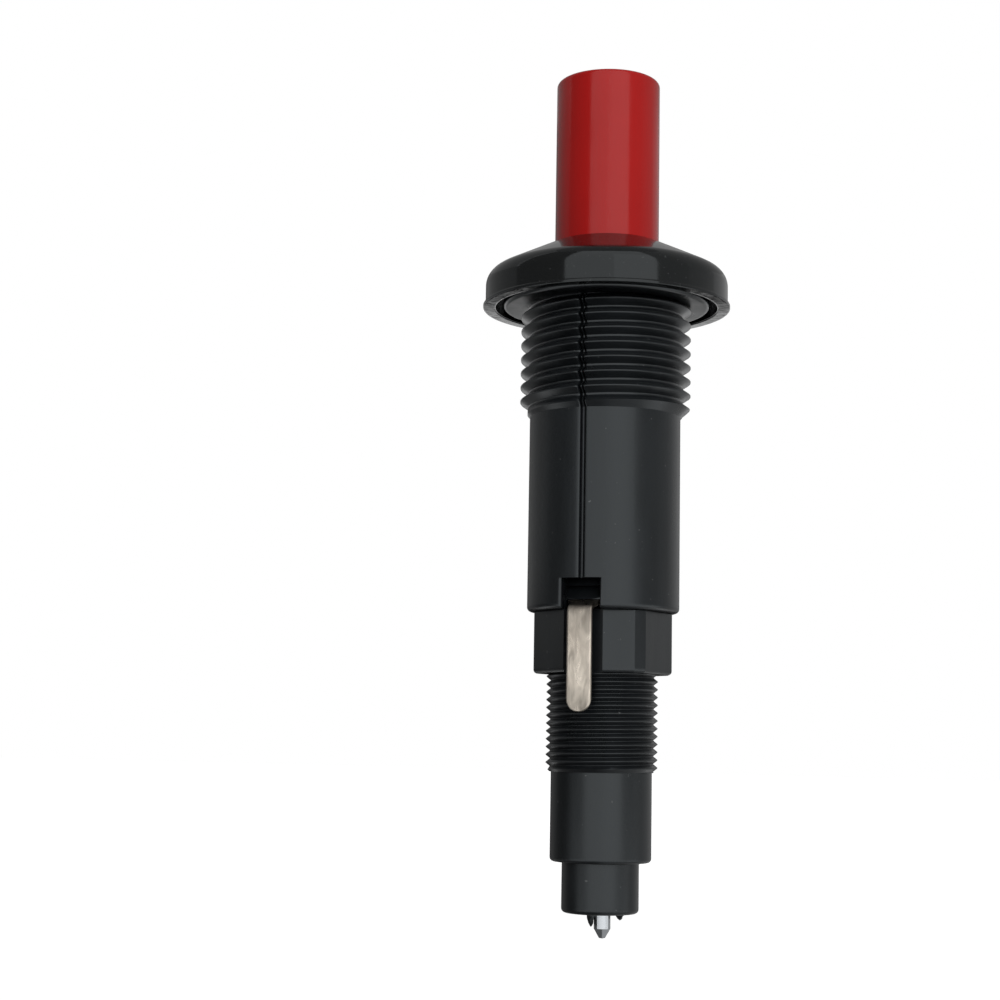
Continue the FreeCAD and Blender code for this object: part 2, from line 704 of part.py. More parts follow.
def draw_bent_arm(sketch):
    """Side outline of the arm: out along the floor, round a quarter bend and down."""
    face = -value("tab_outer_face")
    thick = value("tab_thickness")
    bend = value("tab_bend_radius")
    floor = value("barrel_foot")
    foot = value("guide_foot - tab_length")
    root = -value("stack_bore_radius + seat_gap + terminal_ring_width / 2")
    centre = Vector(face + thick + bend, floor - bend, 0)
    turn = (math.pi / 2, math.pi)
    outer = Part.Circle(centre, Vector(0, 0, 1), bend + thick)
    inner = Part.Circle(centre, Vector(0, 0, 1), bend)
    outer_turn, inner_turn = (Part.ArcOfCircle(circle, *turn) for circle in (outer, inner))
    chain = [
        Part.LineSegment(Vector(root, floor + thick, 0), Vector(centre.x, floor + thick, 0)),
        outer_turn,
        Part.LineSegment(Vector(face, centre.y, 0), Vector(face, foot, 0)),
        Part.LineSegment(Vector(face, foot, 0), Vector(face + thick, foot, 0)),
        Part.LineSegment(Vector(face + thick, foot, 0), Vector(face + thick, centre.y, 0)),
        inner_turn,
        Part.LineSegment(Vector(centre.x, floor, 0), Vector(root, floor, 0)),
        Part.LineSegment(Vector(root, floor, 0), Vector(root, floor + thick, 0))]
    sketch.addGeometry(chain, False)
    top, turn_out, face_out, end, face_in, turn_in, under, back = range(len(chain))
    tangent = "Tangent"
    joined = [(tangent, top, 2, turn_out, 1), (tangent, turn_out, 2, face_out, 1),
              ("Coincident", face_out, 2, end, 1), ("Coincident", end, 2, face_in, 1),
              (tangent, face_in, 2, turn_in, 2), (tangent, turn_in, 1, under, 1),
              ("Coincident", under, 2, back, 1), ("Coincident", back, 2, top, 1),
              ("Coincident", turn_out, 3, turn_in, 3)]
    for kind, *ends in joined:
        sketch.addConstraint(Sketcher.Constraint(kind, *ends))
    for line in (top, under):
        sketch.addConstraint(Sketcher.Constraint("Horizontal", line))
    for line in (face_in, back):
        sketch.addConstraint(Sketcher.Constraint("Vertical", line))
    index = sketch.addConstraint(Sketcher.Constraint("Radius", turn_in, bend))
    set_size(sketch, f"Constraints[{index}]", "tab_bend_radius")
    index = sketch.addConstraint(Sketcher.Constraint("Radius", turn_out, bend + thick))
    set_size(sketch, f"Constraints[{index}]", "tab_bend_radius + tab_thickness")
    fix_point(sketch, end, 1, "-tab_outer_face", "guide_foot - tab_length")
    fix_point(sketch, under, 2,
              "-(stack_bore_radius + seat_gap + terminal_ring_width / 2)", "barrel_foot")
    sketch.addConstraint(Sketcher.Constraint("Horizontal", end))


def build_ground_terminal():
    """Stamped terminal: a ring round the anvil, and an arm bent down outside the housing."""
    body = new_body("ground_terminal")
    ring = new_sketch(body, "RingOutline", "XY_Plane", "barrel_foot")
    draw_circle(ring, "0", "0", "terminal_ring_bore")
    draw_circle(ring, "0", "0", "terminal_ring_bore + terminal_ring_width")
    padded(body, "Ring", ring, "tab_thickness")
    arm = new_sketch(body, "ArmSide", "YZ_Plane")
    draw_bent_arm(arm)
    padded(body, "Arm", arm, "tab_width", both_ways=True)
    foot = value("guide_foot - tab_length")
    ends = [f"Edge{index}" for index, edge in enumerate(body.Shape.Edges, start=1)
            if len(edge.Vertexes) == 2
            and all(abs(vertex.Point.z - foot) < 1e-4 for vertex in edge.Vertexes)
            and abs(edge.Vertexes[0].Point.x - edge.Vertexes[1].Point.x) < 1e-4]
    rounded(body, "TabEnd", ends, "tab_width / 2 - press_gap")
    return body


button = build_button()
bezel = build_bezel()
housing_whole = build_housing()
halves = build_housing_halves(housing_whole)
pieces = [button, bezel, *halves, build_tail(), build_guide(), build_hammer(), build_hammer_pin()]
pieces += [
    washer_or_disc("anvil", "hammer_radius", "anvil_foot", "anvil_top", edge="anvil_edge"),
    washer_or_disc("piezo_ceramic_upper", "ceramic_diameter / 2",
                   "upper_ceramic_foot", "anvil_foot"),
    washer_or_disc("contact_disc", "ceramic_diameter / 2",
                   "lower_ceramic_top", "upper_ceramic_foot"),
    washer_or_disc("piezo_ceramic_lower", "ceramic_diameter / 2",
                   "lower_ceramic_foot", "lower_ceramic_top"),
    washer_or_disc("output_electrode", "hammer_radius", "stack_foot", "lower_ceramic_foot"),
    washer_or_disc("insulating_sleeve", "ceramic_diameter / 2 + seat_gap / 2 + insulator_wall",
                   "lower_ceramic_foot", "anvil_foot",
                   bore="ceramic_diameter / 2 + seat_gap / 2"),
    build_output_pin(),
    coil_spring("impact_spring", "hammer_spigot_radius + seat_gap + impact_spring_wire / 2",
                "impact_spring_wire", "impact_spring_turns", "hammer_top", "button_ceiling"),
    coil_spring("return_spring", "(button_radius + bore_radius) / 2",
                "return_spring_wire", "return_spring_turns", "spring_ledge", "collar_foot"),
    build_ground_terminal(),
]

doc.recompute()
for thing in doc.Objects:
    if "Invalid" in thing.State or "Error" in thing.State:
        raise RuntimeError(f"{thing.Label} failed: {thing.State}")
for piece in pieces:
    if piece.Shape.isNull() or not piece.Shape.isValid():
        raise RuntimeError(f"{piece.Label} has no valid shape")

os.makedirs("parts", exist_ok=True)
for piece in pieces:
    piece.Shape.exportStep(os.path.join("parts", piece.Label + ".step"))
    print(f"{piece.Label}: {len(piece.Shape.Solids)} solid, {piece.Shape.Volume:.1f} mm3")
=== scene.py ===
"""Looks of a push-button piezo igniter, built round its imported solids.

Blender's frame is the model's own: metres, +Z out through the button, the seam and the tab at -Y.
Azimuths are counted from the front (-Y) through +X. Each visible piece is a surface worked out with
numpy and welded into one closed mesh, and each finish is a material named for what it is made of.
"""

import math

import bpy
import numpy as np
from bpy.props import FloatProperty, FloatVectorProperty, IntProperty, PointerProperty
from mathutils import Matrix, Vector


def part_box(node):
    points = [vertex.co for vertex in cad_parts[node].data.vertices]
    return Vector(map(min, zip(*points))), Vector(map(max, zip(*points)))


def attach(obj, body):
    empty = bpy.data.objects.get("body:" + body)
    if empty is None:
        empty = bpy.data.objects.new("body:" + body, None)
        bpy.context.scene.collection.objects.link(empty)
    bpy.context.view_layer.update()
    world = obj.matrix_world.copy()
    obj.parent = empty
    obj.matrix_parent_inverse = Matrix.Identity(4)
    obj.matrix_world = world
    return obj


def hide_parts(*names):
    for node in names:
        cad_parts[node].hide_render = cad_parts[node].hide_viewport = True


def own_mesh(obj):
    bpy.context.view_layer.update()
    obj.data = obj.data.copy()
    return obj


bl_info = {
    "name": "Piezo igniter looks",
    "version": (1, 0, 0),
    "blender": (4, 5, 0),
    "location": "3D View > Sidebar > Igniter",
    "description": "Builds the visible pieces and finishes of a push-button piezo igniter",
    "category": "Object",
}

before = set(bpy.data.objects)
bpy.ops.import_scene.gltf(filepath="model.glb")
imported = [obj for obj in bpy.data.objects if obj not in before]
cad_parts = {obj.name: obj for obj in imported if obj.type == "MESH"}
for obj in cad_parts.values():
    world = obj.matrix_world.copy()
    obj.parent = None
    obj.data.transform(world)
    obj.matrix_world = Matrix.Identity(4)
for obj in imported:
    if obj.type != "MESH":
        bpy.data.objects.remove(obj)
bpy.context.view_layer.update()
MM = 0.001
PHOTO_TURN = math.radians(20.3)  # how far right of the seam the photograph's camera stands

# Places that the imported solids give.
BUTTON_LOW, BUTTON_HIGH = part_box("button")
BEZEL_LOW, BEZEL_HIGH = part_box("bezel")
HALF_LOW, HALF_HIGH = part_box("housing_half_right")
TAIL_LOW, TAIL_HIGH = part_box("tail_housing")
TAB_LOW, TAB_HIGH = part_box("ground_terminal")
PIN_LOW, PIN_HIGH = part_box("output_pin")
RETURN_LOW, RETURN_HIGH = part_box("return_spring")
IMPACT_LOW, IMPACT_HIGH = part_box("impact_spring")


def linear(code):
    """Linear RGB of an sRGB hex colour."""
    parts = np.array([int(code[i:i + 2], 16) / 255 for i in (1, 3, 5)])
    curve = ((parts + 0.055) / 1.055) ** 2.4
    return tuple(np.where(parts <= 0.04045, parts / 12.92, curve))


def length(name, description, millimetres):
    """Length property of a size given in millimetres."""
    return FloatProperty(name=name, description=description, default=millimetres * MM,
                         unit="LENGTH", precision=5)


def colour(name, description, code):
    """Colour property of an sRGB hex colour."""
    return FloatVectorProperty(name=name, description=description, default=linear(code),
                               subtype="COLOR", min=0.0, max=1.0)


class IgniterSizes(bpy.types.PropertyGroup):
    """Sizes that a user would change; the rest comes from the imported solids."""
    button_wall: length("Button wall", "Wall of the hollow button", 1.1)
    button_edge: length("Button edge", "Round of the button's rim", 0.45)
    button_crown: length("Button crown", "How far the button's top bulges", 0.12)
    shoulder_round: length("Shoulder round", "Round between the bezel's dome and its upright rim", 1.9)
    shoulder_height: length("Shoulder height", "Height at which dome and rim would meet", 3.55)
    bezel_lip: length("Bezel lip", "Wall of the bezel's skirt", 1.1)
    thread_crest: length("Panel thread crest", "Crest radius of the panel thread", 8.95)
    thread_depth: length("Panel thread depth", "Depth of the panel thread", 0.85)
    thread_pitch: length("Panel thread pitch", "Rise of the panel thread in one turn", 1.5)
    thread_length: length("Panel thread length", "Length of the panel thread", 11.7)
    barrel_radius: length("Barrel radius", "Radius of the plain barrel", 7.9)
    bore_radius: length("Bore radius", "Radius of the bore that the button slides in", 6.6)
    seam_width: length("Seam width", "Width of the slot between the two halves", 0.26)
    seam_round_left: length("Left seam round", "Round of the left half's edge at the seam", 0.24)
    seam_round_right: length("Right seam round", "Round of the right half's edge at the seam", 0.14)
    seam_depth: length("Seam depth", "Depth of the slot below the barrel's skin", 0.6)
    window_width: length("Window width", "Width of the tab's window", 4.05)
    window_height: length("Window height", "Height of the tab's window", 3.05)
    hex_flat: length("Hexagon flat", "Distance from the axis to a flat", 6.5)
    hex_corner_cut: length("Hexagon corner cut", "How far a flat stops short of the sharp corner", 0.75)
    channel_width: length("Channel width", "Width of the tab's channel in the hexagon", 3.9)
    channel_floor: length("Channel floor", "Distance from the axis to the channel's floor", 5.6)
    tail_crest: length("Tail thread crest", "Crest radius of the tail thread", 5.75)
    tail_depth: length("Tail thread depth", "Depth of the tail thread", 0.42)
    tail_pitch: length("Tail thread pitch", "Rise of the tail thread in one turn", 0.8)
    tab_width: length("Tab width", "Width of the earth tab", 2.6)
    tab_thickness: length("Tab thickness", "Thickness of the earth tab", 0.5)
    tab_coining: length("Tab coining", "Round of the tab's stamped edges", 0.17)
    spring_turns: IntProperty(name="Return spring turns", description="Turns of the return spring",
                              default=6, min=2)


class IgniterColours(bpy.types.PropertyGroup):
    """Colours of the finishes."""
    red: colour("Red ABS", "Button", "#9c1210")
    gloss_black: colour("Gloss black ABS", "Bezel", "#070808")
    satin_black: colour("Black nylon", "Barrel and tail", "#0c0e10")
    nickel: colour("Nickel plate", "Earth tab", "#cfc6b9")
    steel: colour("Zinc-plated steel", "Spark pin, electrode and striker", "#c3c7cb")
    spring: colour("Spring wire", "Springs", "#8d8f92")
    natural: colour("Natural acetal", "Guide tube and insulating sleeve", "#e6e0cf")
    ceramic: colour("Lead zirconate titanate", "Piezo cylinders", "#b5a888")
    brass: colour("Brass", "Contact disc", "#b98f4b")


# Surfaces


def around(radii, heights, turns):
    """Surface of revolution: each row and column has a radius and a height, swept round Z by the
    column's azimuth from the front."""
    radii, heights, turns = np.broadcast_arrays(radii, heights, turns)
    return np.stack([radii * np.sin(turns), -radii * np.cos(turns), heights], axis=-1)


def full_circle(columns):
    """Azimuths of a closed turn, without its repeated end."""
    return np.arange(columns) * (2 * math.pi / columns)


def eased(corners, closed=True, steps=6, hold=0.12 * MM):
    """Broken line whose corners are arcs. Each corner is (across, up, radius), and its arc touches
    both of its runs; where the radius is 0 the corner stays sharp. Points a hold away from each arc
    keep the shading of flat runs flat."""
    ring = np.array([(*corner, 0.0)[:3] for corner in corners])
    places, radii = ring[:, :2], ring[:, 2]
    points = []
    for index, (place, radius) in enumerate(zip(places, radii)):
        if radius <= 0 or (not closed and index in (0, len(places) - 1)):
            points.append(place[None])
            continue
        back = places[index - 1] - place
        ahead = places[(index + 1) % len(places)] - place
        runs = np.linalg.norm(back), np.linalg.norm(ahead)
        back, ahead = back / runs[0], ahead / runs[1]
        half = math.acos(np.clip(back @ ahead, -1, 1)) / 2
        reach = radius / math.tan(half)
        middle = place + (back + ahead) / np.linalg.norm(back + ahead) * radius / math.sin(half)
        start, end = place + back * reach - middle, place + ahead * reach - middle
        swing = math.pi - 2 * half
        share = np.linspace(0, 1, steps + 1)[:, None]
        arc = (np.sin((1 - share) * swing) * start + np.sin(share * swing) * end) / math.sin(swing)
        if reach + hold < runs[0] / 2:
            points.append((place + back * (reach + hold))[None])
        points.append(middle + arc)
        if reach + hold < runs[1] / 2:
            points.append((place + ahead * (reach + hold))[None])
    return np.concatenate(points)


def turned(corners, columns=192, closed=True, **easing):
    """Closed turned surface of an outline of (radius, height, round) corners."""
    outline = eased(corners, closed, **easing)
    points = around(outline[:, :1], outline[:, 1:], full_circle(columns)[None])
    return points, closed, True


def prism(outline, layers):
    """Closed ring of an (x, y) outline drawn at each (scale, height) of a closed run of layers."""
    scales, heights = np.array(layers).T[:, :, None]
    across, along = outline.T[:, None, :]
    points = np.stack(np.broadcast_arrays(scales * across, scales * along, heights), axis=-1)
    return points, True, True


def thread_rows(profile, pitch, low, high, start, turns):
    """Heights and depths of a thread's rows, which climb with the azimuth and stop at both ends.
    The profile gives (distance from the crest, depth below it) over half a pitch, and start is the
    height of a crest at the front."""
    away, depth = np.array(profile).T
    shares = np.concatenate([away, pitch - away[-2:0:-1]]) / pitch
    count = math.ceil((high - low) / pitch) + 3
    base = start + pitch * math.floor((low - start) / pitch - 1)
    steps = (np.arange(count)[:, None] + shares).reshape(-1, 1)
    heights = np.clip(base + pitch * (steps + turns / (2 * math.pi)), low, high)
    from_crest = np.abs((heights - start - pitch * turns / (2 * math.pi) + pitch / 2) % pitch
                        - pitch / 2)
    return heights, np.interp(from_crest, away, depth)


def tube_along(centre, radius, sides):
    """Round wire of a coil about Z: a circle in the plane through the axis at each point (turn,
    coil radius, height) of the centre line, closed to a point at both ends."""
    turn, coil, height = centre.T[:, :, None]
    wire = np.full_like(turn, radius)
    wire[[0, -1]] = 0
    swing = full_circle(sides)[None]
    points = around(coil + wire * np.cos(swing), height + wire * np.sin(swing), turn)
    return points[:, ::-1], False, True


def grid_faces(shape, closed_rows, closed_columns):
    """Quads of a grid of points; a closed direction joins its last line to its first."""
    rows, columns = shape
    i = np.arange(rows if closed_rows else rows - 1)[:, None]
    j = np.arange(columns if closed_columns else columns - 1)[None, :]
    here, above = i * columns, (i + 1) % rows * columns
    left, right = j, (j + 1) % columns
    quads = np.broadcast_arrays(here + left, here + right, above + right, above + left)
    return np.stack(quads, axis=-1).reshape(-1, 4)


def welded(surfaces):
    """Points and faces of several grids: equal points become one, and what has collapsed goes. The
    open sides of a grid are capped, unless it says that they meet."""
    points, quads, ends, count = [], [], [], 0
    for grid, closed_rows, closed_columns, *meets_itself in surfaces:
        shape = grid.shape[:2]
        points.append(grid.reshape(-1, 3))
        quads.append(grid_faces(shape, closed_rows, closed_columns) + count)
        if not closed_columns and not meets_itself:
            rows = np.arange(shape[0]) * shape[1] + count
            ends += [rows[::-1], rows + shape[1] - 1]
        count += shape[0] * shape[1]
    points, quads = np.concatenate(points), np.concatenate(quads)
    _, first, same = np.unique(np.round(points / (0.0001 * MM)), axis=0,
                               return_index=True, return_inverse=True)
    same = same.reshape(-1)
    quads = same[quads]
    doubled = quads == np.roll(quads, -1, axis=1)
    crossed = (quads[:, 0] == quads[:, 2]) | (quads[:, 1] == quads[:, 3])
    whole = quads[~doubled.any(axis=1) & ~crossed]
    faces = whole.tolist()
    for corner in range(4):
        partly = doubled[:, corner] & (doubled.sum(axis=1) == 1) & ~crossed
        faces += np.delete(quads[partly], corner, axis=1).tolist()
    for end in ends:
        loop = same[end]
        faces.append(loop[loop != np.roll(loop, 1)].tolist())
    return points[first], faces


def new_mesh(name, surfaces, sharp=40.0):
    """Mesh object of welded surfaces, smooth where faces meet at less than the sharp angle."""
    points, faces = welded(surfaces)
    mesh = bpy.data.meshes.new(name)
    mesh.from_pydata(points, [], faces)
    mesh.polygons.foreach_set("use_smooth", np.ones(len(mesh.polygons), dtype=bool))
    mesh.set_sharp_from_angle(angle=math.radians(sharp))
    mesh.update()
    thing = bpy.data.objects.new(name, mesh)
    bpy.context.scene.collection.objects.link(thing)
    return thing


def finish_piece(thing, material, body, slot, *nodes):
    """Give a piece its finish and its body, and let it stand for the solids that it replaces."""
    thing.data.materials.clear()
    thing.data.materials.append(material)
    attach(thing, body)
    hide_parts(*nodes)
    return thing


def cut_out(thing, cutter, sharp=40.0):
    """Cut one closed surface out of a piece."""
    tool = new_mesh(thing.name + "_cutter", [cutter])
    carve = thing.modifiers.new("Cut", "BOOLEAN")
    carve.object = tool
    carve.solver = "EXACT"
    state = thing.evaluated_get(bpy.context.evaluated_depsgraph_get())
    mesh = bpy.data.meshes.new_from_object(state)
    thing.modifiers.clear()
    thing.data = mesh
    mesh.name = thing.name
    mesh.set_sharp_from_angle(angle=math.radians(sharp))
    bpy.data.objects.remove(tool)


# Finishes


def add(tree, kind, inputs=None, **settings):
    """Add a node; each input takes a number, a colour or another node's output."""
    made = tree.nodes.new("ShaderNode" + kind)
    for name, setting in settings.items():
        setattr(made, name, setting)
    for name, given in (inputs or {}).items():
        if isinstance(given, bpy.types.NodeSocket):
            tree.links.new(given, made.inputs[name])
        else:
            made.inputs[name].default_value = given
    return made


def per(millimetres):
    """Scale of a pattern whose features are this many millimetres apart."""
    return 1 / (millimetres * MM)


def bare_material(name):
    """Material with an empty tree, and that tree."""
    material = bpy.data.materials.new(name)
    material.use_nodes = True
    material.node_tree.nodes.clear()
    return material, material.node_tree


def start_material(name, base, roughness, **shader_inputs):
    """Material with one shader: its tree, its shader and the object's own coordinates."""
    material, tree = bare_material(name)
    inputs = {"Base Color": (*base, 1.0), "Roughness": roughness}
    inputs.update({key.replace("_", " "): given for key, given in shader_inputs.items()})
    shader = add(tree, "BsdfPrincipled", inputs)
    add(tree, "OutputMaterial", {"Surface": shader.outputs["BSDF"]})
    where = add(tree, "TexCoord").outputs["Object"]
    return material, tree, shader, where


def stretched(tree, where, scale):
    """Coordinates scaled unevenly, for a pattern drawn out in one direction."""
    return add(tree, "Mapping", {"Vector": where, "Scale": scale}).outputs["Vector"]


def shade(tree, base, factor, low, high):
    """Colour that runs from low to high times the base with a factor."""
    return add(tree, "MixRGB", {
        "Fac": factor, "Color1": (*(low * np.array(base)), 1.0),
        "Color2": (*np.clip(high * np.array(base), 0, 1), 1.0)}).outputs["Color"]


def ramp(tree, factor, low, high, to_low=0.0, to_high=1.0):
    """Part of a pattern's range, stretched over a range of its own."""
    return add(tree, "MapRange", {
        "Value": factor, "From Min": low, "From Max": high,
        "To Min": to_low, "To Max": to_high}).outputs["Result"]


def bump(tree, shader, height, depth, normal=None):
    """Raise a pattern by a depth in millimetres and hand the normal to the shader."""
    inputs = {"Height": height, "Strength": 1.0, "Distance": depth * MM}
    if normal is not None:
        inputs["Normal"] = normal
    made = add(tree, "Bump", inputs).outputs["Normal"]
    tree.links.new(made, shader.inputs["Normal"])
    return made


def red_abs(base):
    """Injection-moulded ABS, polished tool: deep even red under a hard gloss, with the faint
    waviness of a moulded skin and fine handling scratches along the stroke."""
    material, tree, shader, where = start_material(
        "red moulded ABS", base, 0.22, IOR=1.44)
    cloud = add(tree, "TexNoise", {"Vector": where, "Scale": per(7), "Detail": 3.0}).outputs["Fac"]
    tree.links.new(shade(tree, base, cloud, 0.88, 1.12), shader.inputs["Base Color"])
    fine = stretched(tree, where, (per(0.3), per(0.3), per(4)))
    scratch = add(tree, "TexNoise", {"Vector": fine, "Scale": 1.0, "Detail": 2.0}).outputs["Fac"]
    tree.links.new(ramp(tree, scratch, 0.4, 0.75, 0.14, 0.24), shader.inputs["Roughness"])
    wave = add(tree, "TexNoise", {"Vector": where, "Scale": per(2.5), "Detail": 1.0}).outputs["Fac"]
    bump(tree, shader, wave, 0.012)
    return material


def gloss_black_abs(base):
    """Injection-moulded ABS, polished tool: near black and mirror-like, broken by soft sink waves,
    upright flow lines and a little dust."""
    material, tree, shader, where = start_material(
        "gloss black moulded ABS", base, 0.1, IOR=1.5,
        Specular_Tint=(0.9, 0.97, 1.0, 1.0))
    flow = stretched(tree, where, (per(1.6), per(1.6), per(14)))
    lines = add(tree, "TexNoise", {"Vector": flow, "Scale": 1.0, "Detail": 3.0}).outputs["Fac"]
    tree.links.new(ramp(tree, lines, 0.35, 0.7, 0.07, 0.14), shader.inputs["Roughness"])
    dust = add(tree, "TexNoise", {"Vector": where, "Scale": per(0.35), "Detail": 4.0}).outputs["Fac"]
    specks = ramp(tree, dust, 0.66, 0.74)
    tree.links.new(shade(tree, np.array(base) + 0.004, specks, 1.0, 5.0), shader.inputs["Base Color"])
    wave = bump(tree, shader, lines, 0.01)
    grain = add(tree, "TexNoise", {"Vector": where, "Scale": per(0.5), "Detail": 2.0}).outputs["Fac"]
    bump(tree, shader, grain, 0.002, wave)
    return material


def black_nylon(base):
    """Glass-filled nylon, moulded: charcoal black with a satin skin, flow marks along the barrel,
    fibre grain of a few hundredths of a millimetre and stray pale specks."""
    material, tree, shader, where = start_material(
        "black moulded nylon", base, 0.34, IOR=1.58, Specular_Tint=(0.9, 0.97, 1.0, 1.0))
    flow = stretched(tree, where, (per(3), per(3), per(18)))
    marks = add(tree, "TexNoise", {"Vector": flow, "Scale": 1.0, "Detail": 4.0}).outputs["Fac"]
    grain = add(tree, "TexNoise", {"Vector": where, "Scale": per(0.22), "Detail": 4.0}).outputs["Fac"]
    specks = add(tree, "TexNoise", {"Vector": where, "Scale": per(0.6), "Detail": 2.0}).outputs["Fac"]
    toned = shade(tree, base, ramp(tree, marks, 0.35, 0.65), 0.75, 1.3)
    dusted = add(tree, "MixRGB", {
        "Fac": ramp(tree, specks, 0.73, 0.78, 0.0, 0.35), "Color1": toned,
        "Color2": (0.2, 0.2, 0.2, 1.0)}).outputs["Color"]
    tree.links.new(dusted, shader.inputs["Base Color"])
    tree.links.new(ramp(tree, marks, 0.3, 0.7, 0.26, 0.36), shader.inputs["Roughness"])
    low = bump(tree, shader, marks, 0.03)
    bump(tree, shader, grain, 0.006, low)
    return material


def nickel_plate(base):
    """Nickel-plated brass, stamped: a warm grey metal, mottled along the strip and slightly stained,
    with painted shade darkening the bend and the colour darker towards the bottom end, with a fine
    rolling grain."""
    material, tree, shader, where = start_material("worn nickel plate", base, 0.4, Metallic=1.0)
    drawn = stretched(tree, where, (per(0.7), per(0.7), per(2.2)))
    mottle = add(tree, "TexNoise", {
        "Vector": drawn, "Scale": 1.0, "Detail": 6.0, "Distortion": 0.6}).outputs["Fac"]
    stain = add(tree, "TexNoise", {"Vector": where, "Scale": per(3.2), "Detail": 3.0}).outputs["Fac"]
    height = add(tree, "SeparateXYZ", {"Vector": where}).outputs["Z"]
    bend_foot, bend_top, end_foot, end_top = -36.5 * MM, -32 * MM, -42.2 * MM, -40 * MM
    # Painted shade: the colour darkens towards the bend, whose upturned face lies in shade, and it also
    # darkens towards the bottom end of the arm.
    bend_shade = ramp(tree, height, bend_foot, bend_top, 1.0, 0.62)
    darker_end = ramp(tree, height, end_foot, end_top, 0.6, 1.0)
    shade_and_dark_end = add(tree, "Math", {0: bend_shade, 1: darker_end}, operation="MULTIPLY").outputs[0]
    toned = shade(tree, base, ramp(tree, mottle, 0.35, 0.68), 0.78, 1.3)
    # The colour is mixed towards black by the painted shade at the bend and by the darkening at the
    # bottom end.
    toned = add(tree, "MixRGB", {
        "Fac": shade_and_dark_end, "Color1": (0.0, 0.0, 0.0, 1.0), "Color2": toned}).outputs["Color"]
    warmed = add(tree, "MixRGB", {
        "Fac": ramp(tree, stain, 0.45, 0.7, 0.0, 0.25), "Color1": toned,
        "Color2": (*linear("#8d7f73"), 1.0)}).outputs["Color"]
    tree.links.new(warmed, shader.inputs["Base Color"])
    tree.links.new(ramp(tree, mottle, 0.3, 0.7, 0.42, 0.26), shader.inputs["Roughness"])
    rolled = stretched(tree, where, (per(0.16), per(0.16), per(2.5)))
    grain = add(tree, "TexNoise", {"Vector": rolled, "Scale": 1.0, "Detail": 3.0}).outputs["Fac"]
    low = bump(tree, shader, mottle, 0.02)
    bump(tree, shader, grain, 0.004, low)
    return material


def turned_steel(name, base, roughness=0.1):
    """Free-cutting steel, turned and zinc plated: bright and cool, with tool rings round its axis."""
    material, tree, shader, where = start_material(name, base, roughness, Metallic=1.0)
    rings = stretched(tree, where, (per(8), per(8), per(0.09)))
    marks = add(tree, "TexNoise", {"Vector": rings, "Scale": 1.0, "Detail": 2.0}).outputs["Fac"]
    cloud = add(tree, "TexNoise", {"Vector": where, "Scale": per(0.8), "Detail": 4.0}).outputs["Fac"]
    tree.links.new(shade(tree, base, cloud, 0.85, 1.15), shader.inputs["Base Color"])
    tree.links.new(ramp(tree, cloud, 0.3, 0.7, roughness * 0.7, roughness * 1.6),
                   shader.inputs["Roughness"])
    bump(tree, shader, marks, 0.0015)
    return material


def drawn_wire(base):
    """Spring steel wire, hard drawn: grey metal with draw lines and a thin oil film."""
    material, tree, shader, where = start_material("drawn spring wire", base, 0.34, Metallic=1.0)
    cloud = add(tree, "TexNoise", {"Vector": where, "Scale": per(0.7), "Detail": 5.0}).outputs["Fac"]
    tree.links.new(shade(tree, base, cloud, 0.7, 1.2), shader.inputs["Base Color"])
    bump(tree, shader, cloud, 0.006)
    return material


def natural_acetal(base):
    """Natural acetal, moulded: milky and waxy, with light bleeding through its skin."""
    material, tree, shader, where = start_material(
        "natural moulded acetal", base, 0.42, IOR=1.48, Subsurface_Weight=0.25,
        Subsurface_Scale=0.6 * MM)
    cloud = add(tree, "TexNoise", {"Vector": where, "Scale": per(2.2), "Detail": 4.0}).outputs["Fac"]
    tree.links.new(shade(tree, base, cloud, 0.92, 1.05), shader.inputs["Base Color"])
    bump(tree, shader, cloud, 0.01)
    return material


def fired_ceramic(base):
    """Lead zirconate titanate, fired and ground: a dull tan with pores and grinding marks."""
    material, tree, shader, where = start_material("fired piezo ceramic", base, 0.62, IOR=1.6)
    pores = add(tree, "TexVoronoi", {"Vector": where, "Scale": per(0.25)}).outputs["Distance"]
    cloud = add(tree, "TexNoise", {"Vector": where, "Scale": per(1.5), "Detail": 5.0}).outputs["Fac"]
    tree.links.new(shade(tree, base, cloud, 0.86, 1.1), shader.inputs["Base Color"])
    bump(tree, shader, pores, 0.01)
    return material


def stamped_brass(base):
    """Brass, stamped from sheet: yellow metal with a fine rolled grain and light tarnish."""
    material, tree, shader, where = start_material("stamped brass", base, 0.3, Metallic=1.0)
    rolled = stretched(tree, where, (per(0.1), per(2), per(2)))
    grain = add(tree, "TexNoise", {"Vector": rolled, "Scale": 1.0, "Detail": 3.0}).outputs["Fac"]
    cloud = add(tree, "TexNoise", {"Vector": where, "Scale": per(1.4), "Detail": 4.0}).outputs["Fac"]
    tree.links.new(shade(tree, base, cloud, 0.7, 1.1), shader.inputs["Base Color"])
    bump(tree, shader, grain, 0.004)
    return material


def shared(slot):
    """Finish of one of the record's slots, made once."""
    colours = bpy.context.scene.igniter_colours
    makers = {
        "red_gloss_plastic": lambda: red_abs(colours.red),
        "black_gloss_plastic": lambda: gloss_black_abs(colours.gloss_black),
        "black_satin_plastic": lambda: black_nylon(colours.satin_black),
        "natural_plastic": lambda: natural_acetal(colours.natural),
        "nickel_plate": lambda: nickel_plate(colours.nickel),
        "turned_steel": lambda: turned_steel("zinc-plated turned steel", colours.steel),
        "spring_steel": lambda: drawn_wire(colours.spring),
        "piezo_ceramic": lambda: fired_ceramic(colours.ceramic),
        "brass": lambda: stamped_brass(colours.brass),
    }
    for material in bpy.data.materials:
        if material.get("igniter_slot") == slot:
            return material
    material = makers[slot]()
    material["igniter_slot"] = slot
    return material


# Pieces


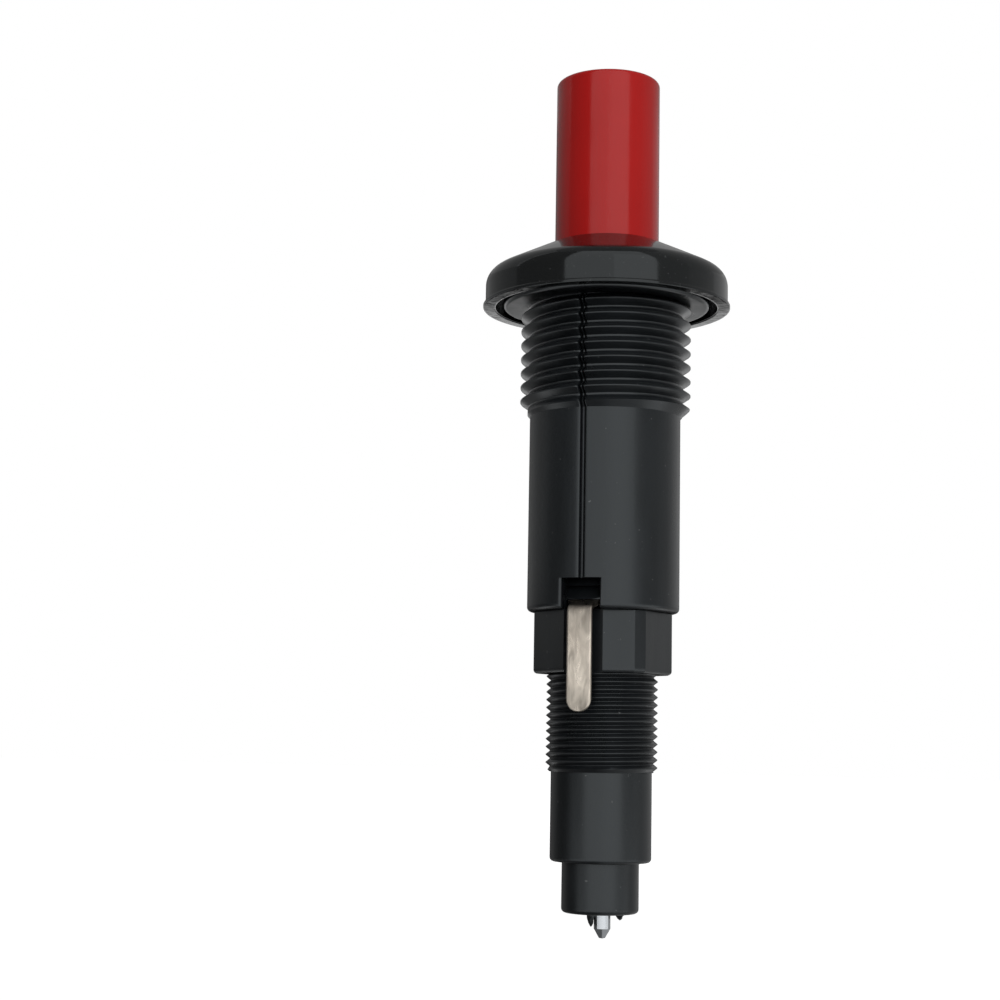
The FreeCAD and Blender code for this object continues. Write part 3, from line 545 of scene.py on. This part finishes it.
class IGNITER_OT_button(bpy.types.Operator):
    """Hollow red push button with its retaining collar and cam ramps"""
    bl_idname = "igniter.button"
    bl_label = "Button"

    def execute(self, context):
        sizes = context.scene.igniter_sizes
        foot, top = BUTTON_LOW.z, BUTTON_HIGH.z
        collar = BUTTON_HIGH.x
        collar_lip, collar_height = 0.95 * MM, 1.6 * MM
        radius, wall = collar - collar_lip, sizes.button_wall
        ceiling = top - 1.6 * MM
        collar_top = 4.68 * MM
        stem, stem_foot = 1.8 * MM, ceiling - 4 * MM
        edge, crown = sizes.button_edge, sizes.button_crown
        outline = eased([
            (0, stem_foot), (stem, stem_foot, 0.2 * MM), (stem, ceiling), (radius - wall, ceiling),
            (radius - wall, foot, 0.1 * MM), (radius, foot, 0.1 * MM),
            (radius, collar_top - collar_height), (collar, collar_top - collar_height, 0.15 * MM),
            (collar, collar_top, 0.15 * MM), (radius, collar_top), (radius, top - crown, edge),
            (radius * 0.66, top - crown * 0.4), (radius * 0.33, top - crown * 0.1), (0, top)],
            closed=False, steps=8)
        turns = full_circle(192)[None]
        reach = 1 * MM
        aside = outline[:, :1] * np.cos(turns) * np.sign(np.sin(turns))
        side = np.clip((aside + reach) / (2 * reach), 0, 1)
        ramp_rise = 1.1 * MM * np.where(side < 1, side, 0)
        near_foot = outline[:, 1:] < foot + 0.3 * MM
        heights = outline[:, 1:] + np.where(near_foot, ramp_rise, 0)
        piece = new_mesh("push_button", [(around(outline[:, :1], heights, turns), False, True)])
        finish_piece(piece, shared("red_gloss_plastic"), "plunger", "red_gloss_plastic", "button")
        return {"FINISHED"}


class IGNITER_OT_bezel(bpy.types.Operator):
    """Domed snap-on bezel with a bead at its foot"""
    bl_idname = "igniter.bezel"
    bl_label = "Bezel"

    def execute(self, context):
        sizes = context.scene.igniter_sizes
        bead, crown = BEZEL_HIGH.y, BEZEL_HIGH.z
        rim = bead - 0.25 * MM
        lip = rim - sizes.bezel_lip
        hole, neck, ceiling, seat = 5.65 * MM, 8.7 * MM, 4.7 * MM, 1.8 * MM
        groove, middle, half = 9.0 * MM, 3.2 * MM, 0.35 * MM
        piece = new_mesh("bezel_cap", [turned([
            (lip, 0, 0.12 * MM), (bead, 0, 0.09 * MM), (bead, 0.32 * MM, 0.1 * MM),
            (rim, 0.42 * MM, 0.06 * MM), (rim, sizes.shoulder_height, sizes.shoulder_round),
            (hole, crown, 0.25 * MM), (hole, ceiling), (neck, ceiling), (neck, middle + half),
            (groove, middle + half), (groove, middle - half), (neck, middle - half), (neck, seat),
            (lip, seat)], columns=288, steps=10)])
        finish_piece(piece, shared("black_gloss_plastic"), "housing", "black_gloss_plastic", "bezel")
        return {"FINISHED"}


def seam_columns(slot, edge, middle, step=None):
    """Azimuths over half a turn, and for each the skin's drop below its full radius: down the seam's
    slot, over a low step where there is one, up a quarter round and along the skin, then the same at
    the other seam. A drop of 1 is the slot's floor."""
    steps = np.linspace(0, math.pi / 2, 6)
    skin = 8 * MM
    places, drops = [[0, slot]], [[1, 1]]
    if step:
        width, fall = step
        places.append([slot, slot + width, slot + width, slot + width * 2.3])
        drops.append([fall, fall, 1, 1])
        slot = slot + width * 2.3
    near = np.concatenate([*places, slot + edge * (1 - np.cos(steps))]) / skin
    drop = np.concatenate([*drops, edge * (1 - np.sin(steps))])
    turns = np.concatenate([near, np.linspace(near[-1], math.pi - near[-1], middle + 2)[1:-1],
                            math.pi - near[::-1]])
    return turns, np.concatenate([drop, np.zeros(middle), drop[::-1]])


def barrel_half(name, side, sizes):
    """Half of the threaded barrel. Its section runs up the skin and down the bore, and the seam's
    slot and rounds lower the skin at both sides."""
    foot, top = HALF_LOW.z, HALF_HIGH.z
    skin, bore = sizes.barrel_radius, sizes.bore_radius
    flange, shoulder, seat, neck = 10.9 * MM, 9.05 * MM, 1.8 * MM, 8.6 * MM
    bead, middle, half = 8.9 * MM, 3.2 * MM, 0.25 * MM
    ledge, ledge_top, ledge_foot = 5.8 * MM, -20 * MM, -27.8 * MM
    trap, trap_top, trap_foot = 7.1 * MM, -28.9 * MM, -30.7 * MM
    step_width, step_drop = 0.12 * MM, 0.13 * MM
    if side > 0:
        turns, drop = seam_columns(sizes.seam_width / 2, sizes.seam_round_right, 110,
                                   (step_width, step_drop))
    else:
        turns, drop = seam_columns(sizes.seam_width / 2, sizes.seam_round_left, 110)
        turns = 2 * math.pi - turns[::-1]
        drop = drop[::-1]
    turns = turns[None]
    below = eased([(bore, foot), (skin, foot, 0.45 * MM), (skin, -sizes.thread_length)], False)
    above = eased([
        (shoulder, 0), (flange, 0, 0.4 * MM), (flange, seat, 0.2 * MM), (neck, seat),
        (neck, middle - half), (bead, middle), (neck, middle + half), (neck, top, 0.2 * MM),
        (bore, top), (bore, ledge_top),
        (ledge, ledge_top), (ledge, ledge_foot), (bore, ledge_foot), (bore, trap_top),
        (trap, trap_top), (trap, trap_foot), (bore, trap_foot)], False)
    profile = [(away * MM, share * sizes.thread_depth) for away, share in (
        (0, 0), (0.05, 0), (0.08, 0.03), (0.11, 0.08), (0.6, 0.93), (0.64, 0.98), (0.69, 1),
        (0.75, 1))]
    start, foot_of_thread = -0.75 * MM, -sizes.thread_length
    rows, depths = thread_rows(profile, sizes.thread_pitch, foot_of_thread, 0, start, turns)
    threaded = np.minimum(sizes.thread_crest - depths, skin + rows - foot_of_thread)
    radii = np.concatenate([below[:, :1] + 0 * turns, threaded, above[:, :1] + 0 * turns])
    heights = np.concatenate([below[:, 1:] + 0 * turns, rows, above[:, 1:] + 0 * turns])
    grooved = (radii > skin - 0.5 * MM) & (heights <= 0)
    slot_floor = skin - sizes.seam_depth
    lowered = np.where(drop == 1, np.minimum(radii, slot_floor), radii - drop)
    radii = np.where(grooved, lowered, radii)
    return new_mesh(name, [(around(radii, heights, turns), True, False)])


class IGNITER_OT_barrel(bpy.types.Operator):
    """Two moulded halves of the threaded barrel, with the seam and the tab's window"""
    bl_idname = "igniter.barrel"
    bl_label = "Barrel"

    def execute(self, context):
        sizes = context.scene.igniter_sizes
        half_width, top = sizes.window_width / 2, HALF_LOW.z + sizes.window_height
        mouth, out, back = -7.62 * MM, 1 * MM, 0.265 * MM
        front = eased([
            (-half_width, -4 * MM), (-half_width, mouth, 0.3 * MM),
            (-half_width - out, mouth + back), (-half_width - out, -9 * MM),
            (half_width + out, -9 * MM), (half_width + out, mouth + back),
            (half_width, mouth, 0.15 * MM), (half_width, -4 * MM)])
        low = HALF_LOW.z - 1 * MM
        for name, side in (("barrel_half_left", -1), ("barrel_half_right", 1)):
            piece = barrel_half(name, side, sizes)
            cut_out(piece, extruded(front, low, top))
            finish_piece(piece, shared("black_satin_plastic"), "housing", "black_satin_plastic",
                         piece.name.replace("barrel", "housing"))
        return {"FINISHED"}


def extruded(outline, low, high):
    """Closed block of an (x, y) outline between two heights, whose ends are capped."""
    ring = np.array(outline)
    points = np.stack([np.column_stack([ring, np.full(len(ring), height)])
                       for height in (high, low)], axis=1)
    return points, True, False


class IGNITER_OT_tail(bpy.types.Operator):
    """Insulating tail: trapped neck, hexagon with the tab's channel, fine thread, sleeve and nose"""
    bl_idname = "igniter.tail"
    bl_label = "Tail"

    def execute(self, context):
        sizes = context.scene.igniter_sizes
        barrel_foot = HALF_LOW.z
        nose_foot, top = TAIL_LOW.z, TAIL_HIGH.z
        hex_foot = barrel_foot - 6.4 * MM
        thread_foot = hex_foot - 10 * MM
        sleeve_foot = thread_foot - 9.07 * MM
        pin_hole, pin_seat, bore, neck_bore, neck = (size * MM for size in (1.12, 1.62, 3.45, 5.2, 6.5))
        trap, trap_top, trap_foot = 7.0 * MM, -29.0 * MM, -30.6 * MM
        stack_foot = -56 * MM
        sleeve, nose, core = 5.2 * MM, 3.95 * MM, 5.4 * MM
        turns = np.linspace(0, 2 * math.pi, 225)[None]
        below = eased([
            (pin_hole, nose_foot), (nose, nose_foot, 0.42 * MM), (nose, sleeve_foot),
            (sleeve, sleeve_foot, 0.4 * MM), (sleeve, thread_foot)], False)
        above = eased([
            (core, hex_foot), (core, barrel_foot), (neck, barrel_foot), (neck, trap_foot),
            (trap, trap_foot), (trap, trap_top), (neck, trap_top), (neck, top), (neck_bore, top),
            (neck_bore, barrel_foot), (bore, barrel_foot), (bore, stack_foot),
            (pin_seat, stack_foot), (pin_seat, stack_foot - 1 * MM),
            (pin_hole, stack_foot - 1 * MM)], False)
        start = -39.17 * MM - sizes.tail_pitch * 110.3 / 360
        profile = [(away * MM, share * sizes.tail_depth) for away, share in (
            (0, 0), (0.03, 0.01), (0.06, 0.07), (0.35, 0.93), (0.38, 0.99), (0.4, 1))]
        rows, depths = thread_rows(profile, sizes.tail_pitch, thread_foot, hex_foot, start, turns)
        threaded = np.minimum(sizes.tail_crest - depths, sleeve + 0.15 * MM + rows - thread_foot)
        radii = np.concatenate([below[:, :1] + 0 * turns, threaded, above[:, :1] + 0 * turns])
        heights = np.concatenate([below[:, 1:] + 0 * turns, rows, above[:, 1:] + 0 * turns])
        core_surface = (around(radii, heights, turns), True, False, "meets itself")
        piece = new_mesh("tail_insulator", [core_surface])
        half = sizes.channel_width / 2
        arm_room, tooth, brow = -31.15 * MM, 1.35 * MM, -28.4 * MM
        slot = [(-9 * MM, barrel_foot), (-4.6 * MM, barrel_foot), (-4.6 * MM, arm_room),
                (-6.45 * MM, arm_room), (-5.28 * MM, arm_room + tooth),
                (-6.45 * MM, arm_room + tooth + 0.05 * MM), (-5.28 * MM, brow), (-9 * MM, brow)]
        points, *kind = extruded(slot, -half, half)
        cut_out(piece, (points[..., [2, 0, 1]], *kind))
        hexagon = new_mesh("tail_hexagon", [prism(hexagon_outline(sizes), [
            (0.72, hex_foot), *rounded_layers(0.4 * MM, hex_foot, sizes.hex_flat, 1),
            *rounded_layers(0.12 * MM, barrel_foot, sizes.hex_flat, -1), (0.72, barrel_foot)])])
        channel = [(-half, -9 * MM), (half, -9 * MM), (half, -sizes.channel_floor),
                   (-half, -sizes.channel_floor)]
        cut_out(hexagon, extruded(channel, hex_foot - 1 * MM, barrel_foot + 1 * MM))
        nibs = new_mesh("tail_nibs", moulding_nibs(nose_foot))
        black = shared("black_satin_plastic")
        for part in (piece, hexagon, nibs):
            finish_piece(part, black, "housing", "black_satin_plastic", "tail_housing")
        return {"FINISHED"}


def hexagon_outline(sizes):
    """Hexagon turned a little from the seam, with its sharp corners cut to short flats."""
    flat = sizes.hex_flat
    half_side = flat / math.sqrt(3) - sizes.hex_corner_cut
    turn = math.radians(-10.7)
    corners = []
    for index in range(6):
        angle = math.radians(60 * index) + turn
        out = np.array([math.cos(angle), math.sin(angle)])
        along = np.array([-out[1], out[0]])
        corners += [(*(out * flat + side * half_side * along), 0.12 * MM) for side in (-1, 1)]
    return eased(corners, steps=4)


def rounded_layers(radius, height, flat, way):
    """Layers of a quarter round at one end of a prism: the inset is radius * (1 - sin t), and the
    rise is radius * (1 - cos t)."""
    t = np.linspace(0, math.pi / 2, 7)
    inset, rise = radius * (1 - np.sin(t)), radius * (1 - np.cos(t))
    layers = [(1 - a / flat, height + way * b) for a, b in zip(inset, rise)]
    layers = [(layers[0][0] - 0.02, height), *layers, (1.0, height + way * (radius + 0.15 * MM))]
    return layers if way > 0 else layers[::-1]


def moulding_nibs(height):
    """Two torn moulding nibs on the nose: uneven pegs that narrow to a point."""
    nibs = []
    for turn, out, reach, thick in ((-58.0, 0.92, 1.45, 0.42), (108.0, 2.05, 0.75, 0.45)):
        rows = np.linspace(0, 1, 9)[:, None]
        swing = full_circle(14)[None]
        wobble = 1 + 0.18 * np.sin(3 * swing + 7 * rows) + 0.1 * np.sin(9 * rows)
        radii = thick * MM * (1 - rows ** 2.6) * wobble
        angle = math.radians(turn)
        across = out * MM * math.sin(angle) + radii * np.cos(swing)
        along = -out * MM * math.cos(angle) + radii * np.sin(swing)
        lowered = height + 0.1 * MM - (reach + 0.1) * MM * rows + 0 * swing
        points = np.stack([across, along, lowered], axis=-1)
        closed = np.concatenate([np.broadcast_to(points[:1].mean(axis=1, keepdims=True),
                                                 points[:1].shape), points])
        nibs.append((closed[:, ::-1], False, True))
    return nibs


class IGNITER_OT_terminal(bpy.types.Operator):
    """Stamped earth tab: a ring under the anvil and an arm bent down outside the barrel"""
    bl_idname = "igniter.terminal"
    bl_label = "Earth tab"

    def execute(self, context):
        sizes = context.scene.igniter_sizes
        half, thick = sizes.tab_width / 2, sizes.tab_thickness
        face, foot = TAB_LOW.y, TAB_LOW.z - 0.5 * MM
        bend = 0.5 * MM + thick / 2
        level = TAB_HIGH.z - thick / 2
        first = -4.32 * MM
        out_run = (face + thick / 2 + bend) - first
        straight, arc = abs(out_run), bend * math.pi / 2
        down = level - bend - foot
        total = straight + arc + down
        near_end = half * np.sin(np.linspace(0, math.pi / 2, 15))
        along = np.concatenate([
            np.linspace(0, straight, 12)[:-1], straight + np.linspace(0, arc, 10)[:-1],
            np.linspace(straight + arc, total - half, 24)[:-1], total - half + near_end])[:, None]
        past = np.maximum(along - (total - half), 0)
        inward = np.clip((straight - along) / (0.7 * MM), 0, 1)
        shoulder, lift = 0.45 * MM * inward, 0.45 * MM * inward * (along > 0.6 * MM)
        reach = np.sqrt(np.maximum(half ** 2 - past ** 2, 0)) + shoulder
        spread = np.sin(np.linspace(-math.pi / 2, math.pi / 2, 33))[None]
        across = reach * spread
        inside = half + shoulder - np.hypot(across, past)
        share = np.clip(inside / sizes.tab_coining, 0, 1)
        level_half = thick / 2 - sizes.tab_coining * (1 - np.sqrt(1 - (1 - share) ** 2))
        levels = np.concatenate([level_half, -level_half[:, ::-1]], axis=1)
        across = np.concatenate([across, across[:, ::-1]], axis=1)
        swing = np.clip((along - straight) / bend, 0, math.pi / 2)
        out = first - np.minimum(along, straight) - (bend + levels) * np.sin(swing)
        height = (level + lift - bend + (bend + levels) * np.cos(swing)
                  - np.maximum(along - straight - arc, 0))
        points = np.stack([across, out, height], axis=-1)
        start = points[:1].mean(axis=1, keepdims=True)
        arm = (np.concatenate([np.broadcast_to(start, points[:1].shape), points])[:, ::-1], False, True)
        ring = turned([(3.37 * MM, level - thick / 2), (4.92 * MM, level - thick / 2),
                       (4.92 * MM, level + thick / 2), (3.37 * MM, level + thick / 2)], columns=96)
        piece = new_mesh("earth_tab", [arm, ring])
        finish_piece(piece, shared("nickel_plate"), "housing", "nickel_plate", "ground_terminal")
        return {"FINISHED"}


class IGNITER_OT_spark_pin(bpy.types.Operator):
    """Headed high-voltage pin with a conical tip, whose bare end leans a little to one side"""
    bl_idname = "igniter.spark_pin"
    bl_label = "Spark pin"

    def execute(self, context):
        tip, top = PIN_LOW.z, PIN_HIGH.z
        radius, shank, head = 0.85 * MM, 1.1 * MM, PIN_HIGH.x
        step, under_head = TAIL_LOW.z, top - 1 * MM
        points, *kind = turned([
            (0, tip), (0.32 * MM, tip + 0.06 * MM, 0.12 * MM), (radius, tip + 1.0 * MM, 0.05 * MM),
            (radius, step), (shank, step), (shank, under_head), (head, under_head),
            (head, top, 0.1 * MM), (0, top)], columns=96, closed=False)
        lean = 0.25 * MM * np.clip((step + 0.01 * MM - points[..., 2]) / (0.005 * MM), 0, 1)
        points[..., :2] += lean[..., None] * (math.cos(PHOTO_TURN), math.sin(PHOTO_TURN))
        piece = new_mesh("spark_pin", [(points, *kind)])
        finish_piece(piece, shared("turned_steel"), "housing", "turned_steel", "output_pin")
        return {"FINISHED"}


class IGNITER_OT_springs(bpy.types.Operator):
    """Return spring and impact spring, wound from round wire"""
    bl_idname = "igniter.springs"
    bl_label = "Springs"

    def execute(self, context):
        sizes = context.scene.igniter_sizes
        jobs = (
            ("return_spring_coil", "return_spring", RETURN_LOW, RETURN_HIGH, 0.6 * MM,
             sizes.spring_turns, 0.567),
            ("impact_spring_coil", "impact_spring", IMPACT_LOW, IMPACT_HIGH, 0.8 * MM, 9, 0.717),
        )
        for name, node, low, high, wire, turns, keep in jobs:
            share = np.linspace(0, 1, int(turns * 40) + 1)
            rise = np.clip((share * turns - 0.75) / (turns - 1.5), 0, 1)
            centre = np.column_stack([
                share * turns * 2 * math.pi, np.full_like(share, high.x - wire / 2),
                low.z + wire / 2 + rise * (high.z - low.z - wire)])
            piece = new_mesh(name, [tube_along(centre, wire / 2, 12)], sharp=80.0)
            finish_piece(piece, shared("spring_steel"), "housing", "spring_steel", node)
            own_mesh(piece)
        return {"FINISHED"}


class IGNITER_OT_inner_finishes(bpy.types.Operator):
    """Finishes of the sealed inner pieces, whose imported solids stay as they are"""
    bl_idname = "igniter.inner_finishes"
    bl_label = "Inner pieces"

    def execute(self, context):
        slots = {
            "natural_plastic": ("guide_tube", "insulating_sleeve"),
            "turned_steel": ("hammer", "hammer_pin", "anvil", "output_electrode"),
            "piezo_ceramic": ("piezo_ceramic_upper", "piezo_ceramic_lower"),
            "brass": ("contact_disc",),
        }
        for slot, nodes in slots.items():
            for name in nodes:
                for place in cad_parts[name].material_slots:
                    place.material = shared(slot)
        return {"FINISHED"}


# Stage


def seen_directly(tree):
    """1 for what the camera, mirrors and clear pieces see, and 0 for light on matt surfaces."""
    path = add(tree, "LightPath").outputs
    seen = add(tree, "Math", {0: path["Is Camera Ray"], 1: path["Is Glossy Ray"]},
               operation="MAXIMUM").outputs[0]
    return add(tree, "Math", {0: seen, 1: path["Is Transmission Ray"]},
               operation="MAXIMUM").outputs[0]


def window_light():
    """Broad soft daylight from the front right, which shades matt surfaces only."""
    light = bpy.data.lights.new("daylight", "SUN")
    light.energy, light.angle = 1.9, math.radians(30)
    thing = bpy.data.objects.new("daylight", light)
    turn, rise = math.radians(13) + PHOTO_TURN, math.radians(14)
    toward = Vector((math.cos(rise) * math.sin(turn), -math.cos(rise) * math.cos(turn), math.sin(rise)))
    thing.rotation_euler = toward.to_track_quat("Z", "Y").to_euler()
    thing.visible_glossy = False
    bpy.context.scene.collection.objects.link(thing)
    return thing


def stage_material(name, shade_value):
    """Matt paper that the camera, mirrors and clear pieces see as white, and that still takes a
    shadow."""
    material, tree = bare_material(name)
    paper = add(tree, "BsdfDiffuse", {"Color": (shade_value,) * 3 + (1.0,)}).outputs["BSDF"]
    glow = add(tree, "Emission", {"Color": (1, 1, 1, 1), "Strength": 0.68}).outputs["Emission"]
    both = add(tree, "AddShader", {0: paper, 1: glow}).outputs["Shader"]
    mixed = add(tree, "MixShader", {"Fac": seen_directly(tree), 1: paper, 2: both}).outputs["Shader"]
    add(tree, "OutputMaterial", {"Surface": mixed})
    return material


# Grey screens round the object: name, azimuths from the photograph's view, elevations, distance
# in metres, and level.
SCREENS = (
    ("screen_left_dark", -96, -42, -40, 65, 0.6, 0.13),
    ("screen_left", -160, -96, 0, 22, 0.6, 0.24),
    ("screen_left_low", -120, -75, -38, -4, 0.13, 0.08),
    ("screen_left_back_low", -160, -120, -38, -4, 0.13, 0.18),
    ("screen_window", 4, 45, -10, 45, 0.6, 1.2),
    ("screen_right_dark", 45, 80, -40, 65, 0.6, 0.29),
    ("screen_right", 80, 118, -10, 22, 0.6, 0.34),
    ("screen_right_back", 118, 160, 0, 22, 0.6, 0.46),
    ("screen_right_low", 90, 160, -38, -4, 0.13, 0.38),
    ("screen_far", 160, 200, 0, 22, 0.6, 0.13),
    ("screen_far_low_right", 160, 180, -38, -4, 0.13, 0.04),
    ("screen_far_low_left", 180, 200, -38, -4, 0.13, 0.01),
    ("screen_below_left", -180, 0, -89, -50, 0.078, 0.12),
    ("screen_below_right", 0, 180, -89, -50, 0.078, 0.4),
    ("screen_back", 80, 262, 22, 65, 0.6, 0.33),
    ("screen_top", -180, 180, 65, 89, 0.6, 0.2),
)


def screen(name, azimuths, elevations, distance, level):
    """Grey studio screen, part of a sphere round the object, that only light and mirrors see."""
    turns = np.radians(np.linspace(*azimuths, 25))[None] + PHOTO_TURN
    rises = np.radians(np.linspace(*elevations, 13))[:, None]
    middle = -20 * MM
    points = around(distance * np.cos(rises), middle + distance * np.sin(rises), turns)
    mesh = bpy.data.meshes.new(name)
    mesh.from_pydata(points.reshape(-1, 3), [], grid_faces(points.shape[:2], False, False).tolist())
    material, tree = bare_material(name)
    grey = add(tree, "Emission", {"Color": (1, 1, 1, 1), "Strength": level}).outputs["Emission"]
    add(tree, "OutputMaterial", {"Surface": grey})
    mesh.materials.append(material)
    thing = bpy.data.objects.new(name, mesh)
    thing.visible_camera = thing.visible_shadow = False
    bpy.context.scene.collection.objects.link(thing)
    return thing


class IGNITER_OT_stage(bpy.types.Operator):
    """White floor, soft studio light, grey screens and the camera"""
    bl_idname = "igniter.stage"
    bl_label = "Stage"

    def execute(self, context):
        scene = context.scene
        scene.view_settings.view_transform = "Standard"
        reach, level = 3.0, -0.1
        corners = [(-reach, -reach, level), (reach, -reach, level), (reach, reach, level),
                   (-reach, reach, level)]
        mesh = bpy.data.meshes.new("floor")
        mesh.from_pydata(corners, [], [(0, 1, 2, 3)])
        floor = bpy.data.objects.new("floor", mesh)
        floor.data.materials.append(stage_material("white paper", 0.8))
        scene.collection.objects.link(floor)
        world = bpy.data.worlds.new("studio")
        scene.world = world
        world.use_nodes = True
        tree = world.node_tree
        tree.nodes.clear()
        glow = add(tree, "MapRange", {"Value": seen_directly(tree), "To Min": 0.5}).outputs[0]
        sky = add(tree, "Background", {"Color": (1, 1, 1, 1), "Strength": glow}).outputs[0]
        add(tree, "OutputWorld", {"Surface": sky})
        window_light()
        for name, first, last, low, high, distance, level in SCREENS:
            screen(name, (first, last), (low, high), distance, level)
        place_camera(scene)
        return {"FINISHED"}


def place_camera(scene):
    """Camera of the photograph's view: a long lens just below the middle, looking slightly up."""
    view = bpy.data.cameras.new("photo_view")
    view.sensor_width, view.lens = 36.0, 68.99
    view.clip_start, view.clip_end = 0.01, 20
    camera = bpy.data.objects.new("photo_view", view)
    spin = Matrix.Rotation(PHOTO_TURN, 4, "Z")
    place = Vector((-10.1, -199.135, -45.274)) * MM
    right = Vector((0.99985, 0.00187, 0.01736))
    forward = Vector((-0.0040, 0.99232, 0.12361))
    up = right.cross(forward).normalized()
    right = forward.cross(up).normalized()
    axes = Matrix((right, up, -forward.normalized())).transposed().to_4x4()
    camera.matrix_world = spin @ Matrix.Translation(place) @ axes
    scene.collection.objects.link(camera)
    scene.camera = camera


STEPS = (IGNITER_OT_button, IGNITER_OT_bezel, IGNITER_OT_barrel, IGNITER_OT_tail,
         IGNITER_OT_terminal, IGNITER_OT_spark_pin, IGNITER_OT_springs,
         IGNITER_OT_inner_finishes, IGNITER_OT_stage)


class IGNITER_PT_panel(bpy.types.Panel):
    """Sidebar panel with the sizes, the colours and one button for each step"""
    bl_idname = "IGNITER_PT_panel"
    bl_label = "Piezo igniter"
    bl_space_type = "VIEW_3D"
    bl_region_type = "UI"
    bl_category = "Igniter"

    def draw(self, context):
        layout = self.layout
        for group in (context.scene.igniter_sizes, context.scene.igniter_colours):
            box = layout.box()
            for name in group.__annotations__:
                box.prop(group, name)
        for step in STEPS:
            layout.operator(step.bl_idname)


CLASSES = (IgniterSizes, IgniterColours, *STEPS, IGNITER_PT_panel)


def register():
    """Make the classes known to Blender and hang the settings on the scene."""
    for made in CLASSES:
        bpy.utils.register_class(made)
    bpy.types.Scene.igniter_sizes = PointerProperty(type=IgniterSizes)
    bpy.types.Scene.igniter_colours = PointerProperty(type=IgniterColours)


def unregister():
    """Take everything back in the reverse order."""
    del bpy.types.Scene.igniter_colours
    del bpy.types.Scene.igniter_sizes
    for made in reversed(CLASSES):
        bpy.utils.unregister_class(made)


def main():
    """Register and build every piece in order."""
    register()
    for step in STEPS:
        group, name = step.bl_idname.split(".")
        getattr(getattr(bpy.ops, group), name)()


if __name__ == "__main__":
    main()
